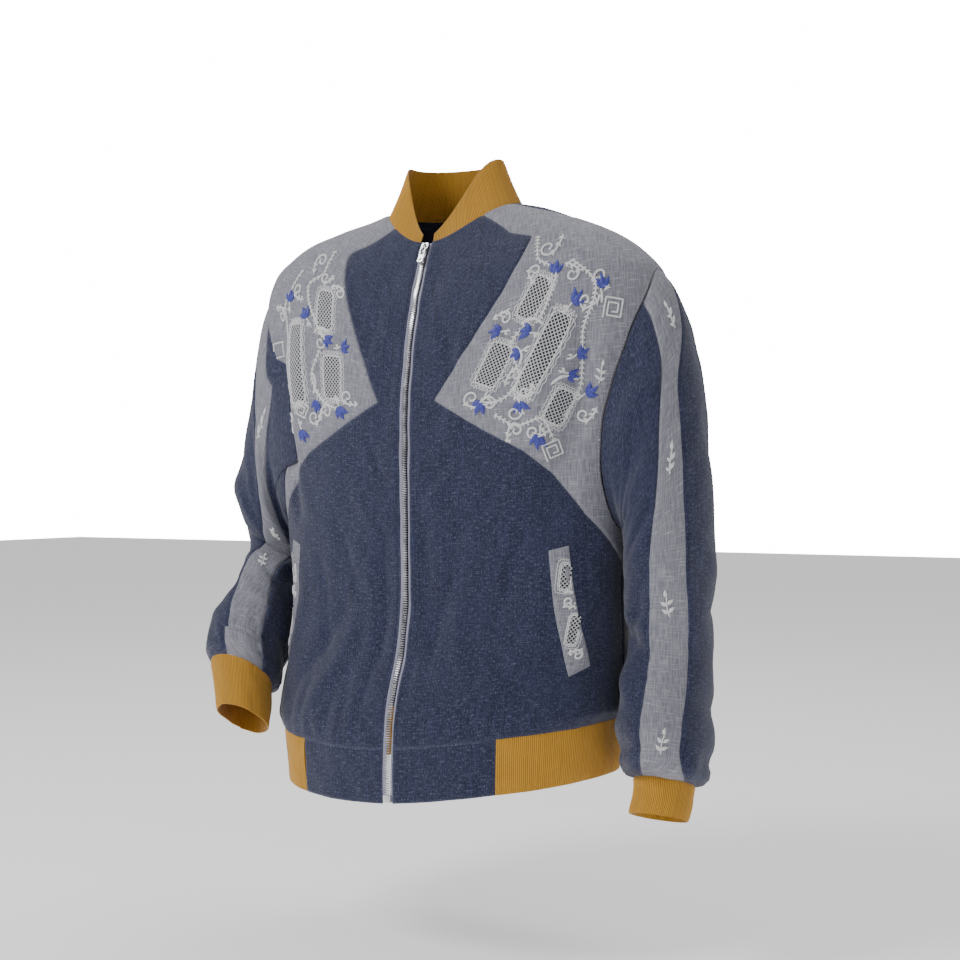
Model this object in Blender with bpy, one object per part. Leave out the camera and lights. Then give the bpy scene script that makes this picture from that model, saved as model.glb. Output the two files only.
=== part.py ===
"""A zipped bomber jacket in its worn, hollow shape, as separate cut pieces of cloth.

Metres, +Z up. The front faces -Y and the wearer's left is +X. The origin is the middle of the
neck opening, at the height where the collar meets the shoulders.
"""

from collections import namedtuple
from math import atan2, ceil, cos, pi, radians, sin

import bpy
import numpy as np
from mathutils import Vector
from mathutils.geometry import delaunay_2d_cdt

MM = 0.001

# Cloth and sewing
DENIM_THICK = 1.6 * MM
GREY_THICK = 1.6 * MM
RIB_THICK = 2.0 * MM
TAPE_THICK = 1.0 * MM
PATCH_THICK = 1.2 * MM
SEAM_HALF_GAP = 0.15 * MM
REST_GAP = 0.3 * MM
PANEL_STEP = 25 * MM
SEAM_STEP = 22 * MM
SLEEVE_STEP = 16 * MM
SLEEVE_PANEL_STEP = 17 * MM
NECK_STEP = 14 * MM
TRIM_STEP = 22 * MM
COLLAR_STEP = 17 * MM
ZIP_PARTS, BAND_PARTS = 27, 3
COLLAR_PARTS, CUFF_PARTS = 37, 3
WHOLE_TURN = 360
WALL_ORDER = (1, 2, 3)
NORMAL_REACH = 6 * MM

# Zip
ZIP_OPENING = 6.3 * MM
CHAIN_HALF = 2.5 * MM
CHAIN_THICK = 2.4 * MM
TAPE_EDGE = 14 * MM
TAPE_BEHIND = 2.1 * MM
ZIP_TOP_DOWN = 2 * MM
BOX_TALL = 8 * MM
BOX_END = 1.5 * MM
BOX_HALF = 4.5 * MM
BOX_FRONT = 1.0 * MM
BOX_THICK = 2.6 * MM
SLIDER_DOWN = 9 * MM
SLIDER_TALL = 11 * MM
SLIDER_TOP_HALF = 4.4 * MM
SLIDER_LOW_HALF = 3.2 * MM
SLIDER_THICK = 1.8 * MM
SLIDER_LIFT = 0.4 * MM
ARCH_HALF = 1.1 * MM
ARCH_TALL = 7.5 * MM
ARCH_INSIDE = 2.4 * MM
ARCH_WALL = 1.1 * MM
PULL_HALF = 3.3 * MM
PULL_LONG = 19 * MM
PULL_THICK = 1.2 * MM
PULL_CORNER = 1.2 * MM
PULL_BAR = 0.8 * MM
WINDOW_HALF = 1.9 * MM
WINDOW_LONG = 8 * MM
HOLE_RADIUS = 1.3 * MM
HOLE_UP = 3.6 * MM

# Body of the jacket, from the neck seam (first row) to the hem's lower edge (last row), in
# millimetres. Each row is one ring of cloth: its height, half width and depth position at the
# side, then the depth position and height of its front and of its back. square is the exponent
# of the ring's outline. lean lifts the wearer's left side and lowers the right by as much.
BodyRow = namedtuple("BodyRow", "side_z half_width side_y front_y front_z back_y back_z square lean")
BODY_ROWS = [
    BodyRow(4, 78, 12, -52, -40, 74, 5, 2.0, 0),
    BodyRow(-2, 106, 20, -62, -62, 86, -18, 2.0, -1),
    BodyRow(-13, 146, 26, -70, -84, 96, -44, 2.05, -4),
    BodyRow(-28, 186, 28, -77, -103, 106, -68, 2.1, -6),
    BodyRow(-46, 216, 28, -82, -120, 113, -90, 2.2, -8),
    BodyRow(-68, 237, 28, -86, -136, 119, -112, 2.3, -9),
    BodyRow(-98, 246, 26, -90, -154, 125, -136, 2.35, -9),
    BodyRow(-140, 244, 23, -94, -180, 130, -168, 2.4, -8),
    BodyRow(-185, 235, 19, -98, -212, 134, -206, 2.4, -6),
    BodyRow(-240, 221, 14, -100, -258, 135, -256, 2.4, -3),
    BodyRow(-300, 210, 9, -100, -312, 131, -310, 2.4, 0),
    BodyRow(-360, 204, 8, -98, -368, 125, -366, 2.35, 2),
    BodyRow(-420, 201, 9, -97, -424, 120, -422, 2.3, 5),
    BodyRow(-475, 202, 9, -107, -478, 118, -474, 2.3, 8),
    BodyRow(-520, 205, 8, -124, -522, 119, -515, 2.35, 11),
    BodyRow(-546, 206, 8, -132, -556, 119, -537, 2.4, 12),
    BodyRow(-560, 197, 8, -133, -575, 115, -550, 2.4, 13),
    BodyRow(-590, 194, 8, -133, -604, 112, -579, 2.35, 13),
    BodyRow(-617, 191, 8, -132, -632, 110, -606, 2.35, 13),
]
HEM_ROW = 16

# Armhole: an egg seen from the side, whose top leans back
ARM_Y, ARM_Z = 18 * MM, -212 * MM
ARM_BACK_DEPTH, ARM_HALF_HEIGHT = 61 * MM, 136 * MM
ARM_FRONT_DEPTH = {1: 61 * MM, -1: 82 * MM}
ARM_LEAN = 10 * MM
STRIPE_FIRST, STRIPE_LAST = -10, 44
UNDERARM = 180
ARM_FRONT_PARTS, ARM_BACK_PARTS = 14, 16
GUIDE_ANGLE = 10

# Sleeves, from the armhole to the end of the cuff, in millimetres. Each row is one ring: its
# middle, the arrow from there to its outer point, its half depth, how far its front is raised
# and how far the stripe has turned from the outer point to the front. x grows outwards.
SleeveRow = namedtuple("SleeveRow", "x y z out_x out_y out_z half_depth pitch turn")
LEFT_SLEEVE = [
    SleeveRow(223, 18, -212, 19, 10, 136, 61, 0, 17),
    SleeveRow(233, 17, -223, 23, 8, 128, 63, 0, 21),
    SleeveRow(241, 15, -245, 30, 5, 112, 65, 0, 31),
    SleeveRow(247, 13, -274, 37, 2, 88, 65, 0, 49),
    SleeveRow(251, 12, -308, 41, 0, 60, 64, 0, 54),
    SleeveRow(253, 12, -345, 43, 0, 33, 63, 2, 58),
    SleeveRow(254, 13, -385, 44, 0, 11, 63, 3, 61),
    SleeveRow(253, 16, -432, 44, 0, 2, 59, 5, 62),
    SleeveRow(253, 15, -475, 43, 0, 0, 54, 8, 63),
    SleeveRow(255, 3, -522, 46, 0, 0, 61, 11, 63),
    SleeveRow(257, -7, -558, 47, 0, 0, 65, 14, 65),
    SleeveRow(259, -12, -585, 46, 0, 0, 61, 16, 68),
    SleeveRow(260, -15, -600, 40, 0, 0, 49, 17, 68),
    SleeveRow(260, -17, -604, 31, 0, 0, 35, 18, 68),
    SleeveRow(260, -22, -620, 30, 0, 0, 32, 18, 68),
    SleeveRow(258, -28, -638, 30, 0, 0, 32, 18, 68),
]
RIGHT_SLEEVE = [
    SleeveRow(223, 18, -212, 19, 10, 136, 61, 0, 17),
    SleeveRow(230, 19, -223, 22, 8, 128, 62, 0, 38),
    SleeveRow(235, 21, -246, 28, 5, 112, 60, 0, 70),
    SleeveRow(241, 24, -275, 34, 2, 89, 59, 0, 100),
    SleeveRow(249, 28, -308, 39, 0, 63, 60, 0, 119),
    SleeveRow(256, 34, -341, 44, 0, 37, 60, 0, 128),
    SleeveRow(254, 41, -373, 42, 0, 15, 58, 8, 128),
    SleeveRow(249, 34, -401, 39, 0, 4, 56, 28, 116),
    SleeveRow(246, 8, -428, 38, 0, 0, 56, 42, 105),
    SleeveRow(242, -24, -460, 41, 0, 0, 57, 45, 112),
    SleeveRow(239, -54, -489, 44, 0, 0, 57, 44, 124),
    SleeveRow(233, -70, -509, 44, 0, 0, 54, 42, 130),
    SleeveRow(230, -77, -518, 37, 0, 0, 41, 40, 131),
    SleeveRow(217, -93, -540, 33, 0, 0, 36, 38, 131),
    SleeveRow(204, -109, -562, 30, 0, 0, 33, 37, 131),
]
LEFT_CUFF_ROW, RIGHT_CUFF_ROW = 13, 12
SLEEVE_BLEND = 110 * MM
STRIPE_HALF_TOP, STRIPE_HALF_LOW = 17 * MM, 23.5 * MM
UNDERARM_DRIFT = {1: 18, -1: 38}
STRIPE_SETTLE = 90 * MM

# Collar
COLLAR_TALL = 50 * MM
COLLAR_END_TALL = 3 * MM
COLLAR_LEAN = 0.42
COLLAR_FULL_ANGLE = 75
COLLAR_END = 7.5 * MM

# Seams seen from the front, as across (x) and height (z) in millimetres
SeamPoint = namedtuple("SeamPoint", "x z")
INSERT_EDGE = {
    1: [SeamPoint(96, -36), SeamPoint(121, -41)],
    -1: [SeamPoint(81, -39), SeamPoint(98, -47)],
}
INSERT_TIP = SeamPoint(35, -214)
INSERT_LOWER = [SeamPoint(62, -229), SeamPoint(133, -267), SeamPoint(158, -290), SeamPoint(186, -332)]
INSERT_NECK_ANGLE = {1: 53, -1: 44}
SHOULDER_NECK_ANGLE = 80
INSERT_SIDE_Z = -388
BACK_SHOULDER_X = 118
BACK_SHOULDER_ANGLE = 86
BACK_TIP = SeamPoint(38, -214)
BACK_LOWER = [SeamPoint(66, -230), SeamPoint(135, -268), SeamPoint(160, -291), SeamPoint(190, -340)]
BAND_END_X = 118 * MM
WELT = [SeamPoint(155, -369), SeamPoint(172, -364), SeamPoint(190, -487), SeamPoint(176, -497)]
BLOCK_TALL = 27 * MM
BLOCK_STEP = 8

# Largest folds. A ridge stands out by depth (mm) and a trough goes in; half_width (mm) is its
# reach to each side. Its two ends are an angle round the ring from the front, or from the middle
# of the sleeve's stripe, and the height of the ring's side or middle (mm).
Fold = namedtuple("Fold", "depth half_width angle_a z_a angle_b z_b")
BODY_FOLDS = [
    Fold(-8, 11, 66, -120, 64, -330),
    Fold(5, 12, 55, -105, 57, -240),
    Fold(-8, 11, -66, -120, -64, -330),
    Fold(5, 12, -55, -105, -57, -240),
    Fold(-5, 13, -38, -430, -58, -520),
    Fold(4, 14, -30, -455, -44, -535),
    Fold(-4, 15, 34, -350, 20, -470),
    Fold(-4, 13, 62, -500, 40, -540),
    Fold(3, 14, 50, -440, 70, -480),
    Fold(-4, 14, 12, -330, 16, -470),
    Fold(-3, 12, -14, -350, -12, -480),
    Fold(-7, 12, 114, -110, 118, -320),
    Fold(-7, 12, -114, -110, -118, -320),
    Fold(-6, 18, 168, -470, 150, -535),
    Fold(5, 16, -165, -440, -150, -530),
    Fold(-5, 15, 128, -430, 138, -520),
    Fold(-5, 15, -126, -400, -140, -500),
]
LEFT_SLEEVE_FOLDS = [
    Fold(6, 12, 26, -254, 76, -226),
    Fold(-6, 12, 32, -280, 84, -242),
    Fold(-4, 11, 30, -395, 70, -470),
    Fold(-6, 12, 92, -455, 36, -480),
    Fold(5, 12, 84, -500, 44, -530),
    Fold(-5, 9, 30, -578, 100, -580),
    Fold(-4, 12, -60, -300, -120, -340),
    Fold(-6, 12, -70, -440, -150, -400),
    Fold(-4, 12, -50, -520, -130, -540),
    Fold(-5, 9, -60, -580, -150, -578),
]
RIGHT_SLEEVE_FOLDS = [
    Fold(-10, 17, 22, -262, 34, -345),
    Fold(5, 12, 2, -262, -6, -310),
    Fold(-8, 16, -78, -380, 20, -398),
    Fold(7, 13, 42, -352, 96, -372),
    Fold(6, 15, -60, -332, -120, -340),
    Fold(-6, 12, 50, -425, 100, -400),
    Fold(-5, 12, -50, -450, -120, -440),
    Fold(-5, 11, 50, -478, 110, -486),
    Fold(4, 11, -60, -480, -140, -470),
]

Finish = namedtuple("Finish", "red green blue roughness metallic")
FINISHES = {
    "denim": Finish(0.026, 0.040, 0.092, 0.9, 0),
    "grey_cloth": Finish(0.34, 0.35, 0.38, 0.85, 0),
    "rib": Finish(0.55, 0.31, 0.065, 0.9, 0),
    "zip_tape": Finish(0.24, 0.24, 0.33, 0.85, 0),
    "metal": Finish(0.62, 0.62, 0.62, 0.35, 1),
}

Run = namedtuple("Run", "uv points")


def clear_scene():
    for thing in list(bpy.data.objects):
        bpy.data.objects.remove(thing, do_unlink=True)


def finish_of(name):
    """The material of this name, made the first time that it is asked for."""
    found = bpy.data.materials.get(name)
    if found:
        return found
    finish = FINISHES[name]
    made = bpy.data.materials.new(name)
    made.use_nodes = True
    shader = made.node_tree.nodes["Principled BSDF"]
    shader.inputs["Base Color"].default_value = (finish.red, finish.green, finish.blue, 1)
    shader.inputs["Roughness"].default_value = finish.roughness
    shader.inputs["Metallic"].default_value = finish.metallic
    return made


def smooth_step(share):
    share = np.clip(share, 0, 1)
    return share * share * (3 - 2 * share)


def matched(u, v):
    """Both as arrays of numbers of the same length."""
    return np.broadcast_arrays(np.atleast_1d(np.asarray(u, float)), np.atleast_1d(np.asarray(v, float)))


class Curves:
    """Smooth curves through a table's columns that never overshoot between two rows."""

    def __init__(self, places, rows):
        self.places = np.array(places, float)
        self.rows = np.array(rows, float)
        step = np.diff(self.places)[:, None]
        rise = np.diff(self.rows, axis=0) / step
        slopes = np.zeros_like(self.rows)
        before, after = rise[:-1], rise[1:]
        turning = before * after <= 0
        safe = np.where(turning, 1, before + after)
        slopes[1:-1] = np.where(turning, 0, 2 * before * after / safe)
        slopes[0], slopes[-1] = rise[0], rise[-1]
        self.slopes = slopes

    def at(self, place):
        place = np.atleast_1d(np.asarray(place, float))
        low = np.clip(np.searchsorted(self.places, place, side="right") - 1, 0, len(self.places) - 2)
        width = (self.places[low + 1] - self.places[low])[:, None]
        share = (place[:, None] - self.places[low][:, None]) / width
        share = np.clip(share, -0.5, 1.5)
        start, end = self.rows[low], self.rows[low + 1]
        pull_a, pull_b = self.slopes[low] * width, self.slopes[low + 1] * width
        return (
            start * (1 + 2 * share) * (1 - share) ** 2
            + pull_a * share * (1 - share) ** 2
            + end * share**2 * (3 - 2 * share)
            + pull_b * share**2 * (share - 1)
        )


class Cloth:
    """A smooth sheet: u is an angle in degrees round a ring, v the way down it in metres."""

    across = 0.19
    down_reach = 6 * MM

    def fold_depth(self, u, v):
        total = np.zeros(len(u))
        for fold, v_a, v_b in self.folds:
            reach = fold.half_width * MM
            turn_a = (u - fold.angle_a + 180) % 360 - 180
            start = np.stack([np.radians(turn_a) * self.across, v - v_a], axis=1)
            line = np.array([radians(fold.angle_b - fold.angle_a) * self.across, v_b - v_a])
            along = start @ line / (line @ line)
            inside = np.clip(along, 0, 1)
            away = np.linalg.norm(start - inside[:, None] * line, axis=1)
            swell = 0.55 + 0.45 * np.sin(inside * pi)
            total += fold.depth * MM * swell * np.exp(-((away / reach) ** 2))
        return total

    def plain_normal(self, u, v):
        tiny_u, tiny_v = 0.5, 1 * MM
        by_u = self.plain(u + tiny_u, v) - self.plain(u - tiny_u, v)
        by_v = self.plain(u, v + tiny_v) - self.plain(u, v - tiny_v)
        normal = np.cross(by_v, by_u) * self.outward
        return normal / np.linalg.norm(normal, axis=1)[:, None]

    def point(self, u, v):
        u, v = matched(u, v)
        return self.plain(u, v) + self.plain_normal(u, v) * self.fold_depth(u, v)[:, None]

    def normal(self, u, v):
        u, v = matched(u, v)
        reach_u, reach_v = np.degrees(NORMAL_REACH / self.across), self.down_reach
        by_u = self.point(u + reach_u, v) - self.point(u - reach_u, v)
        by_v = self.point(u, v + reach_v) - self.point(u, v - reach_v)
        normal = np.cross(by_v, by_u) * self.outward
        return normal / np.linalg.norm(normal, axis=1)[:, None]

    def flat(self, uv):
        """Where places lie on a flat sheet, in metres, for its mesh."""
        return np.stack([np.radians(uv[:, 0]) * self.across, uv[:, 1]], axis=1)

    def unflat(self, places):
        return np.stack([np.degrees(places[:, 0] / self.across), places[:, 1]], axis=1)

    def locate(self, axes, target, guess):
        """The (u, v) where two of the point's coordinates have the target's values."""
        place = np.array(guess, float)
        steps = np.array([0.2, 0.5 * MM])
        for _ in range(40):
            here = self.point(*place)[0][list(axes)]
            slope = np.stack(
                [
                    (self.point(place[0] + steps[0], place[1])[0][list(axes)] - here) / steps[0],
                    (self.point(place[0], place[1] + steps[1])[0][list(axes)] - here) / steps[1],
                ],
                axis=1,
            )
            move = np.linalg.solve(slope, np.array(target) - here)
            place += np.clip(move, [-6, -20 * MM], [6, 20 * MM])
            if abs(move[0]) < 1e-5 and abs(move[1]) < 1e-8:
                break
        return place


class Body(Cloth):
    """The trunk of the jacket from the neck seam to the lower edge of the hem."""

    outward = 1

    def __init__(self):
        rows = np.array(BODY_ROWS, float)
        side = rows[:, [1, 2, 0]]
        front = np.stack([0 * rows[:, 0], rows[:, 3], rows[:, 4]], axis=1)
        back = np.stack([0 * rows[:, 0], rows[:, 5], rows[:, 6]], axis=1)
        steps = sum(np.linalg.norm(np.diff(line, axis=0), axis=1) for line in (side, front, back)) / 3
        self.down = np.concatenate([[0], np.cumsum(steps)]) * MM
        self.curves = Curves(self.down, rows)
        self.heights = rows[:, 0] * MM
        self.hem = self.down[HEM_ROW]
        self.end = self.down[-1]
        self.folds = [(fold, self.down_at(fold.z_a), self.down_at(fold.z_b)) for fold in BODY_FOLDS]

    def down_at(self, side_z):
        return float(np.interp(-side_z * MM, -self.heights, self.down))

    def plain(self, u, v):
        row = self.curves.at(v)
        side_z, half_width, side_y, front_y, front_z, back_y, back_z, square, lean = row.T
        turn = np.radians(u)
        ahead = np.cos(turn) >= 0
        depth = np.where(ahead, side_y - front_y, back_y - side_y)
        drop = np.where(ahead, front_z, back_z) - side_z
        reach = (
            np.abs(np.cos(turn) / depth) ** square + np.abs(np.sin(turn) / half_width) ** square
        ) ** (-1 / square)
        x = reach * np.sin(turn)
        y = side_y - reach * np.cos(turn)
        z = side_z + drop * np.cos(turn) ** 2 + lean * np.sin(turn)
        return np.stack([x, y, z], axis=1) * MM

    def angle_at_x(self, v, x):
        """The angle at which the ring at v is this far from the middle, on the front."""
        low, high = np.zeros(len(v)), np.full(len(v), 80.0)
        for _ in range(40):
            middle = (low + high) / 2
            inside = self.plain(middle, v)[:, 0] < abs(x)
            low, high = np.where(inside, middle, low), np.where(inside, high, middle)
        return middle * (1 if x > 0 else -1)


class Armhole:
    """The closed seam between the body and one sleeve."""

    def __init__(self, body, side):
        self.side = side
        self.turns = np.concatenate(
            [
                [STRIPE_FIRST],
                np.linspace(0, STRIPE_LAST, 4),
                np.linspace(STRIPE_LAST, UNDERARM, ARM_FRONT_PARTS + 1)[1:],
                np.linspace(UNDERARM, 360 + STRIPE_FIRST, ARM_BACK_PARTS + 1)[1:],
            ]
        )
        places = []
        for turn in np.radians(self.turns):
            depth = ARM_FRONT_DEPTH[side] if sin(turn) > 0 else ARM_BACK_DEPTH
            y = ARM_Y + ARM_LEAN * cos(turn) - depth * sin(turn)
            z = ARM_Z + ARM_HALF_HEIGHT * cos(turn)
            guess = (side * (90 - 28 * sin(turn)), body.down_at(z / MM))
            places.append(body.locate((1, 2), (y, z), guess))
        self.uv = np.array(places)
        self.points = body.point(self.uv[:, 0], self.uv[:, 1])
        self.curve = Curves(self.turns, self.points)

    def at(self, turn):
        """A point on the seam at any turn in degrees."""
        turn = (np.asarray(turn, float) - STRIPE_FIRST) % 360 + STRIPE_FIRST
        return self.curve.at(turn)

    def run(self, first, last):
        """The body's side of the seam, from one turn to a later one."""
        wanted = [i for i, turn in enumerate(self.turns) if first - 0.01 <= turn <= last + 0.01]
        return Run(self.uv[wanted], self.points[wanted])


class Sleeve(Cloth):
    """A sleeve and its cuff, from the armhole down. u is counted from the stripe's middle."""

    across = 0.062

    def __init__(self, side, rows, cuff_row, folds, armhole):
        self.side = side
        self.outward = -side
        self.armhole = armhole
        table = np.array(rows, float)
        middle, outer = table[:, :3], table[:, :3] + table[:, 3:6]
        steps = sum(np.linalg.norm(np.diff(line, axis=0), axis=1) for line in (middle, outer)) / 2
        self.down = np.concatenate([[0], np.cumsum(steps)]) * MM
        self.curves = Curves(self.down, table)
        self.heights = table[:, 2] * MM
        self.first_turn = rows[0].turn
        self.cuff = self.down[cuff_row]
        self.end = self.down[-1]
        self.folds = [(fold, self.down_at(fold.z_a), self.down_at(fold.z_b)) for fold in folds]

    def down_at(self, z):
        return float(np.interp(-z * MM, -self.heights, self.down))

    def ring(self, u, v):
        x, y, z, out_x, out_y, out_z, half_depth, pitch, turn = self.curves.at(v).T
        angle = np.radians(u + turn)
        lift = np.radians(pitch)
        x = x + out_x * np.cos(angle)
        y = y + out_y * np.cos(angle) - half_depth * np.cos(lift) * np.sin(angle)
        z = z + out_z * np.cos(angle) + half_depth * np.sin(lift) * np.sin(angle)
        return np.stack([self.side * x, y, z], axis=1) * MM

    def plain(self, u, v):
        facing = u + self.curves.at(v)[:, 8]
        shift = self.armhole.at(facing) - self.ring(facing - self.first_turn, np.zeros(len(v)))
        fade = (1 - smooth_step(v / SLEEVE_BLEND)) * (1 - np.clip(v / SLEEVE_BLEND, 0, 1))
        return self.ring(u, v) + shift * fade[:, None]

    def flat(self, uv):
        return super().flat(uv + np.stack([self.curves.at(uv[:, 1])[:, 8], np.zeros(len(uv))], axis=1))

    def unflat(self, places):
        uv = super().unflat(places)
        return uv - np.stack([self.curves.at(uv[:, 1])[:, 8], np.zeros(len(uv))], axis=1)

    def stripe_edge(self, v, edge):
        """The angle of the stripe's front (1) or back (-1) edge at v."""
        row = self.curves.at(v)
        turn = np.radians(row[:, 8] + edge * 20)
        out = np.linalg.norm(row[:, 3:6], axis=1)
        radius = np.sqrt((out * np.sin(turn)) ** 2 + (row[:, 6] * np.cos(turn)) ** 2) * MM
        half = STRIPE_HALF_TOP + (STRIPE_HALF_LOW - STRIPE_HALF_TOP) * np.asarray(v) / self.cuff
        settled = np.degrees(half / radius)
        started = STRIPE_LAST - self.first_turn if edge > 0 else self.first_turn - STRIPE_FIRST
        share = smooth_step(np.asarray(v) / STRIPE_SETTLE)
        return edge * (started * (1 - share) + settled * share)

    def underarm_edge(self, v):
        """The angle of the underarm seam at v, which drifts back towards the cuff."""
        drift = UNDERARM_DRIFT[self.side] * smooth_step(np.asarray(v) / self.cuff)
        return UNDERARM + drift - self.curves.at(v)[:, 8]


class Collar(Cloth):
    """The rib collar that stands on the neck seam. v is the share of its height."""

    across = 0.07
    down_reach = 0.05
    outward = -1
    folds = []

    def __init__(self, body):
        self.body = body

    def tall(self, u):
        ahead = np.minimum(np.abs((u + 180) % 360 - 180) / COLLAR_FULL_ANGLE, 1)
        return COLLAR_END_TALL + (COLLAR_TALL - COLLAR_END_TALL) * np.sin(ahead * pi / 2) ** 1.15

    def plain(self, u, v):
        foot = self.body.plain(u, np.zeros(len(u)))
        inward = foot * [-1, -1, 0] + [0, BODY_ROWS[0].side_y * MM, 0]
        inward /= np.linalg.norm(inward, axis=1)[:, None]
        up = (v * self.tall(u))[:, None]
        bow = 1 + 0.25 * (1 - v)[:, None]
        return foot + up * ([0, 0, 1] + inward * COLLAR_LEAN * bow)

    def flat(self, uv):
        return super().flat(uv) * [1, COLLAR_TALL]

    def unflat(self, places):
        return super().unflat(places / [1, COLLAR_TALL])


def seam(cloth, places, step=SEAM_STEP):
    """A run of points on straight lines between (u, v) places, evenly spaced along each."""
    found = []
    for first, last in zip(places[:-1], places[1:]):
        ends = cloth.point([first[0], last[0]], [first[1], last[1]])
        parts = max(1, int(ceil(np.linalg.norm(ends[1] - ends[0]) / step)))
        found += [np.array(first) + (np.array(last) - first) * i / parts for i in range(parts)]
    uv = np.array(found + [np.array(places[-1], float)])
    return Run(uv, cloth.point(uv[:, 0], uv[:, 1]))


def backwards(run):
    return Run(run.uv[::-1], run.points[::-1])


def turned(run, degrees):
    """The same run, with its angles counted a whole turn on."""
    return Run(run.uv + [degrees, 0], run.points)


def moved_uv(run, uv):
    return Run(np.array(uv, float), run.points)


def loop_of(*runs):
    """One closed outline from runs that each start where the one before ends."""
    return Run(
        np.concatenate([run.uv[:-1] for run in runs]),
        np.concatenate([run.points[:-1] for run in runs]),
    )


def joined(*runs):
    """One open run from runs that each start where the one before ends."""
    return Run(
        np.concatenate([runs[0].uv] + [run.uv[1:] for run in runs[1:]]),
        np.concatenate([runs[0].points] + [run.points[1:] for run in runs[1:]]),
    )


def line_of(cloth, angles, downs):
    """A run through the given angles, one for each way down."""
    uv = np.stack([angles, downs], axis=1)
    return Run(uv, cloth.point(uv[:, 0], uv[:, 1]))


class Mitres:
    """The directions of two sheets' walls along a seam where they meet at an angle. They are
    shared where the sheets go on from each other, and each sheet's own where they fold back."""

    def __init__(self):
        self.known = {}

    def key(self, cloth, point):
        return (cloth, *np.round(point / (0.01 * MM)).astype(int))

    def share(self, points, first, second, first_out, second_out):
        alike = np.sum(first_out * second_out, axis=1)
        weight = smooth_step((alike + 0.2) / 0.6)[:, None]
        for cloth, own, other in ((first, first_out, second_out), (second, second_out, first_out)):
            total = own + weight * other
            total = total / np.linalg.norm(total, axis=1)[:, None]
            for point, direction in zip(points, total):
                self.known[self.key(cloth, point)] = direction

    def of(self, cloth, points, plain):
        return np.array([self.known.get(self.key(cloth, p), n) for p, n in zip(points, plain)])


def inset(points, normals, gap):
    """The outline drawn in by gap, square to each side, within the cloth."""
    before = points - np.roll(points, 1, axis=0)
    after = np.roll(points, -1, axis=0) - points
    sides = []
    for edge in (before, after):
        across = np.cross(normals, edge)
        sides.append(across / np.linalg.norm(across, axis=1)[:, None])
    both = sides[0] + sides[1]
    spread = np.maximum(1 + np.sum(sides[0] * sides[1], axis=1), 0.35)
    return points + both / spread[:, None] * gap


def inside(outline, places):
    """Which places lie within the outline."""
    found = np.zeros(len(places), bool)
    for a, b in zip(outline, np.roll(outline, -1, axis=0)):
        crosses = (a[1] > places[:, 1]) != (b[1] > places[:, 1])
        height = np.where(b[1] == a[1], 1, b[1] - a[1])
        at = a[0] + (places[:, 1] - a[1]) * (b[0] - a[0]) / height
        found ^= crosses & (places[:, 0] < at)
    return found


def clearance(outline, places, closed=True):
    """How far each place is from the outline, or from an open line."""
    nearest = np.full(len(places), np.inf)
    ends = np.roll(outline, -1, axis=0)
    for a, b in list(zip(outline, ends))[: None if closed else -1]:
        line = b - a
        share = np.clip((places - a) @ line / max(line @ line, 1e-12), 0, 1)
        nearest = np.minimum(nearest, np.linalg.norm(places - a - share[:, None] * line, axis=1))
    return nearest


def grid_within(outline, step, others=(), lines=()):
    """Places in staggered rows inside an outline, clear of its edge, other outlines and lines."""
    low, high = outline.min(axis=0), outline.max(axis=0)
    rows = np.arange(low[1] + step / 2, high[1], step * 0.87)
    found = []
    for number, height in enumerate(rows):
        shift = step / 2 if number % 2 else 0
        across = np.arange(low[0] + step / 4 + shift, high[0], step)
        found.append(np.stack([across, np.full(len(across), height)], axis=1))
    places = np.concatenate(found) if found else np.zeros((0, 2))
    keep = inside(outline, places) & (clearance(outline, places) > step * 0.55)
    for other in others:
        keep &= clearance(other, places) > step * 0.4
    for line in lines:
        keep &= clearance(line, places, closed=False) > step * 0.45
    return places[keep]


def solid_from_sheet(name, outer, inner, faces, material):
    """A closed wall between two like-numbered layers of points, with its edges filled. The
    slanting lines in those edges run the same way in both pieces at a seam."""
    count = len(outer)
    edges = {}
    for face in faces:
        for a, b in zip(face, face[1:] + face[:1]):
            edges[(a, b)] = True
    rim = [(a, b) for a, b in edges if (b, a) not in edges]
    rank = outer @ np.array(WALL_ORDER)
    walls = []
    for a, b in rim:
        if rank[a] < rank[b]:
            walls += [(b, a, a + count), (b, a + count, b + count)]
        else:
            walls += [(b, a, b + count), (a, a + count, b + count)]
    back = [tuple(i + count for i in reversed(face)) for face in faces]
    mesh = bpy.data.meshes.new(name)
    mesh.from_pydata(np.concatenate([outer, inner]).tolist(), [], [tuple(f) for f in faces] + back + walls)
    used = bpy.data.objects.new(name, mesh)
    bpy.context.collection.objects.link(used)
    mesh.materials.append(finish_of(material))
    mesh.shade_smooth()
    mesh.set_sharp_from_angle(angle=radians(50))
    return used


def tidy_layers(outer, inner, faces):
    """Only the points that some face uses, renumbered."""
    used = sorted({i for face in faces for i in face})
    place = {old: new for new, old in enumerate(used)}
    return outer[used], inner[used], [[place[i] for i in face] for face in faces]


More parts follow.
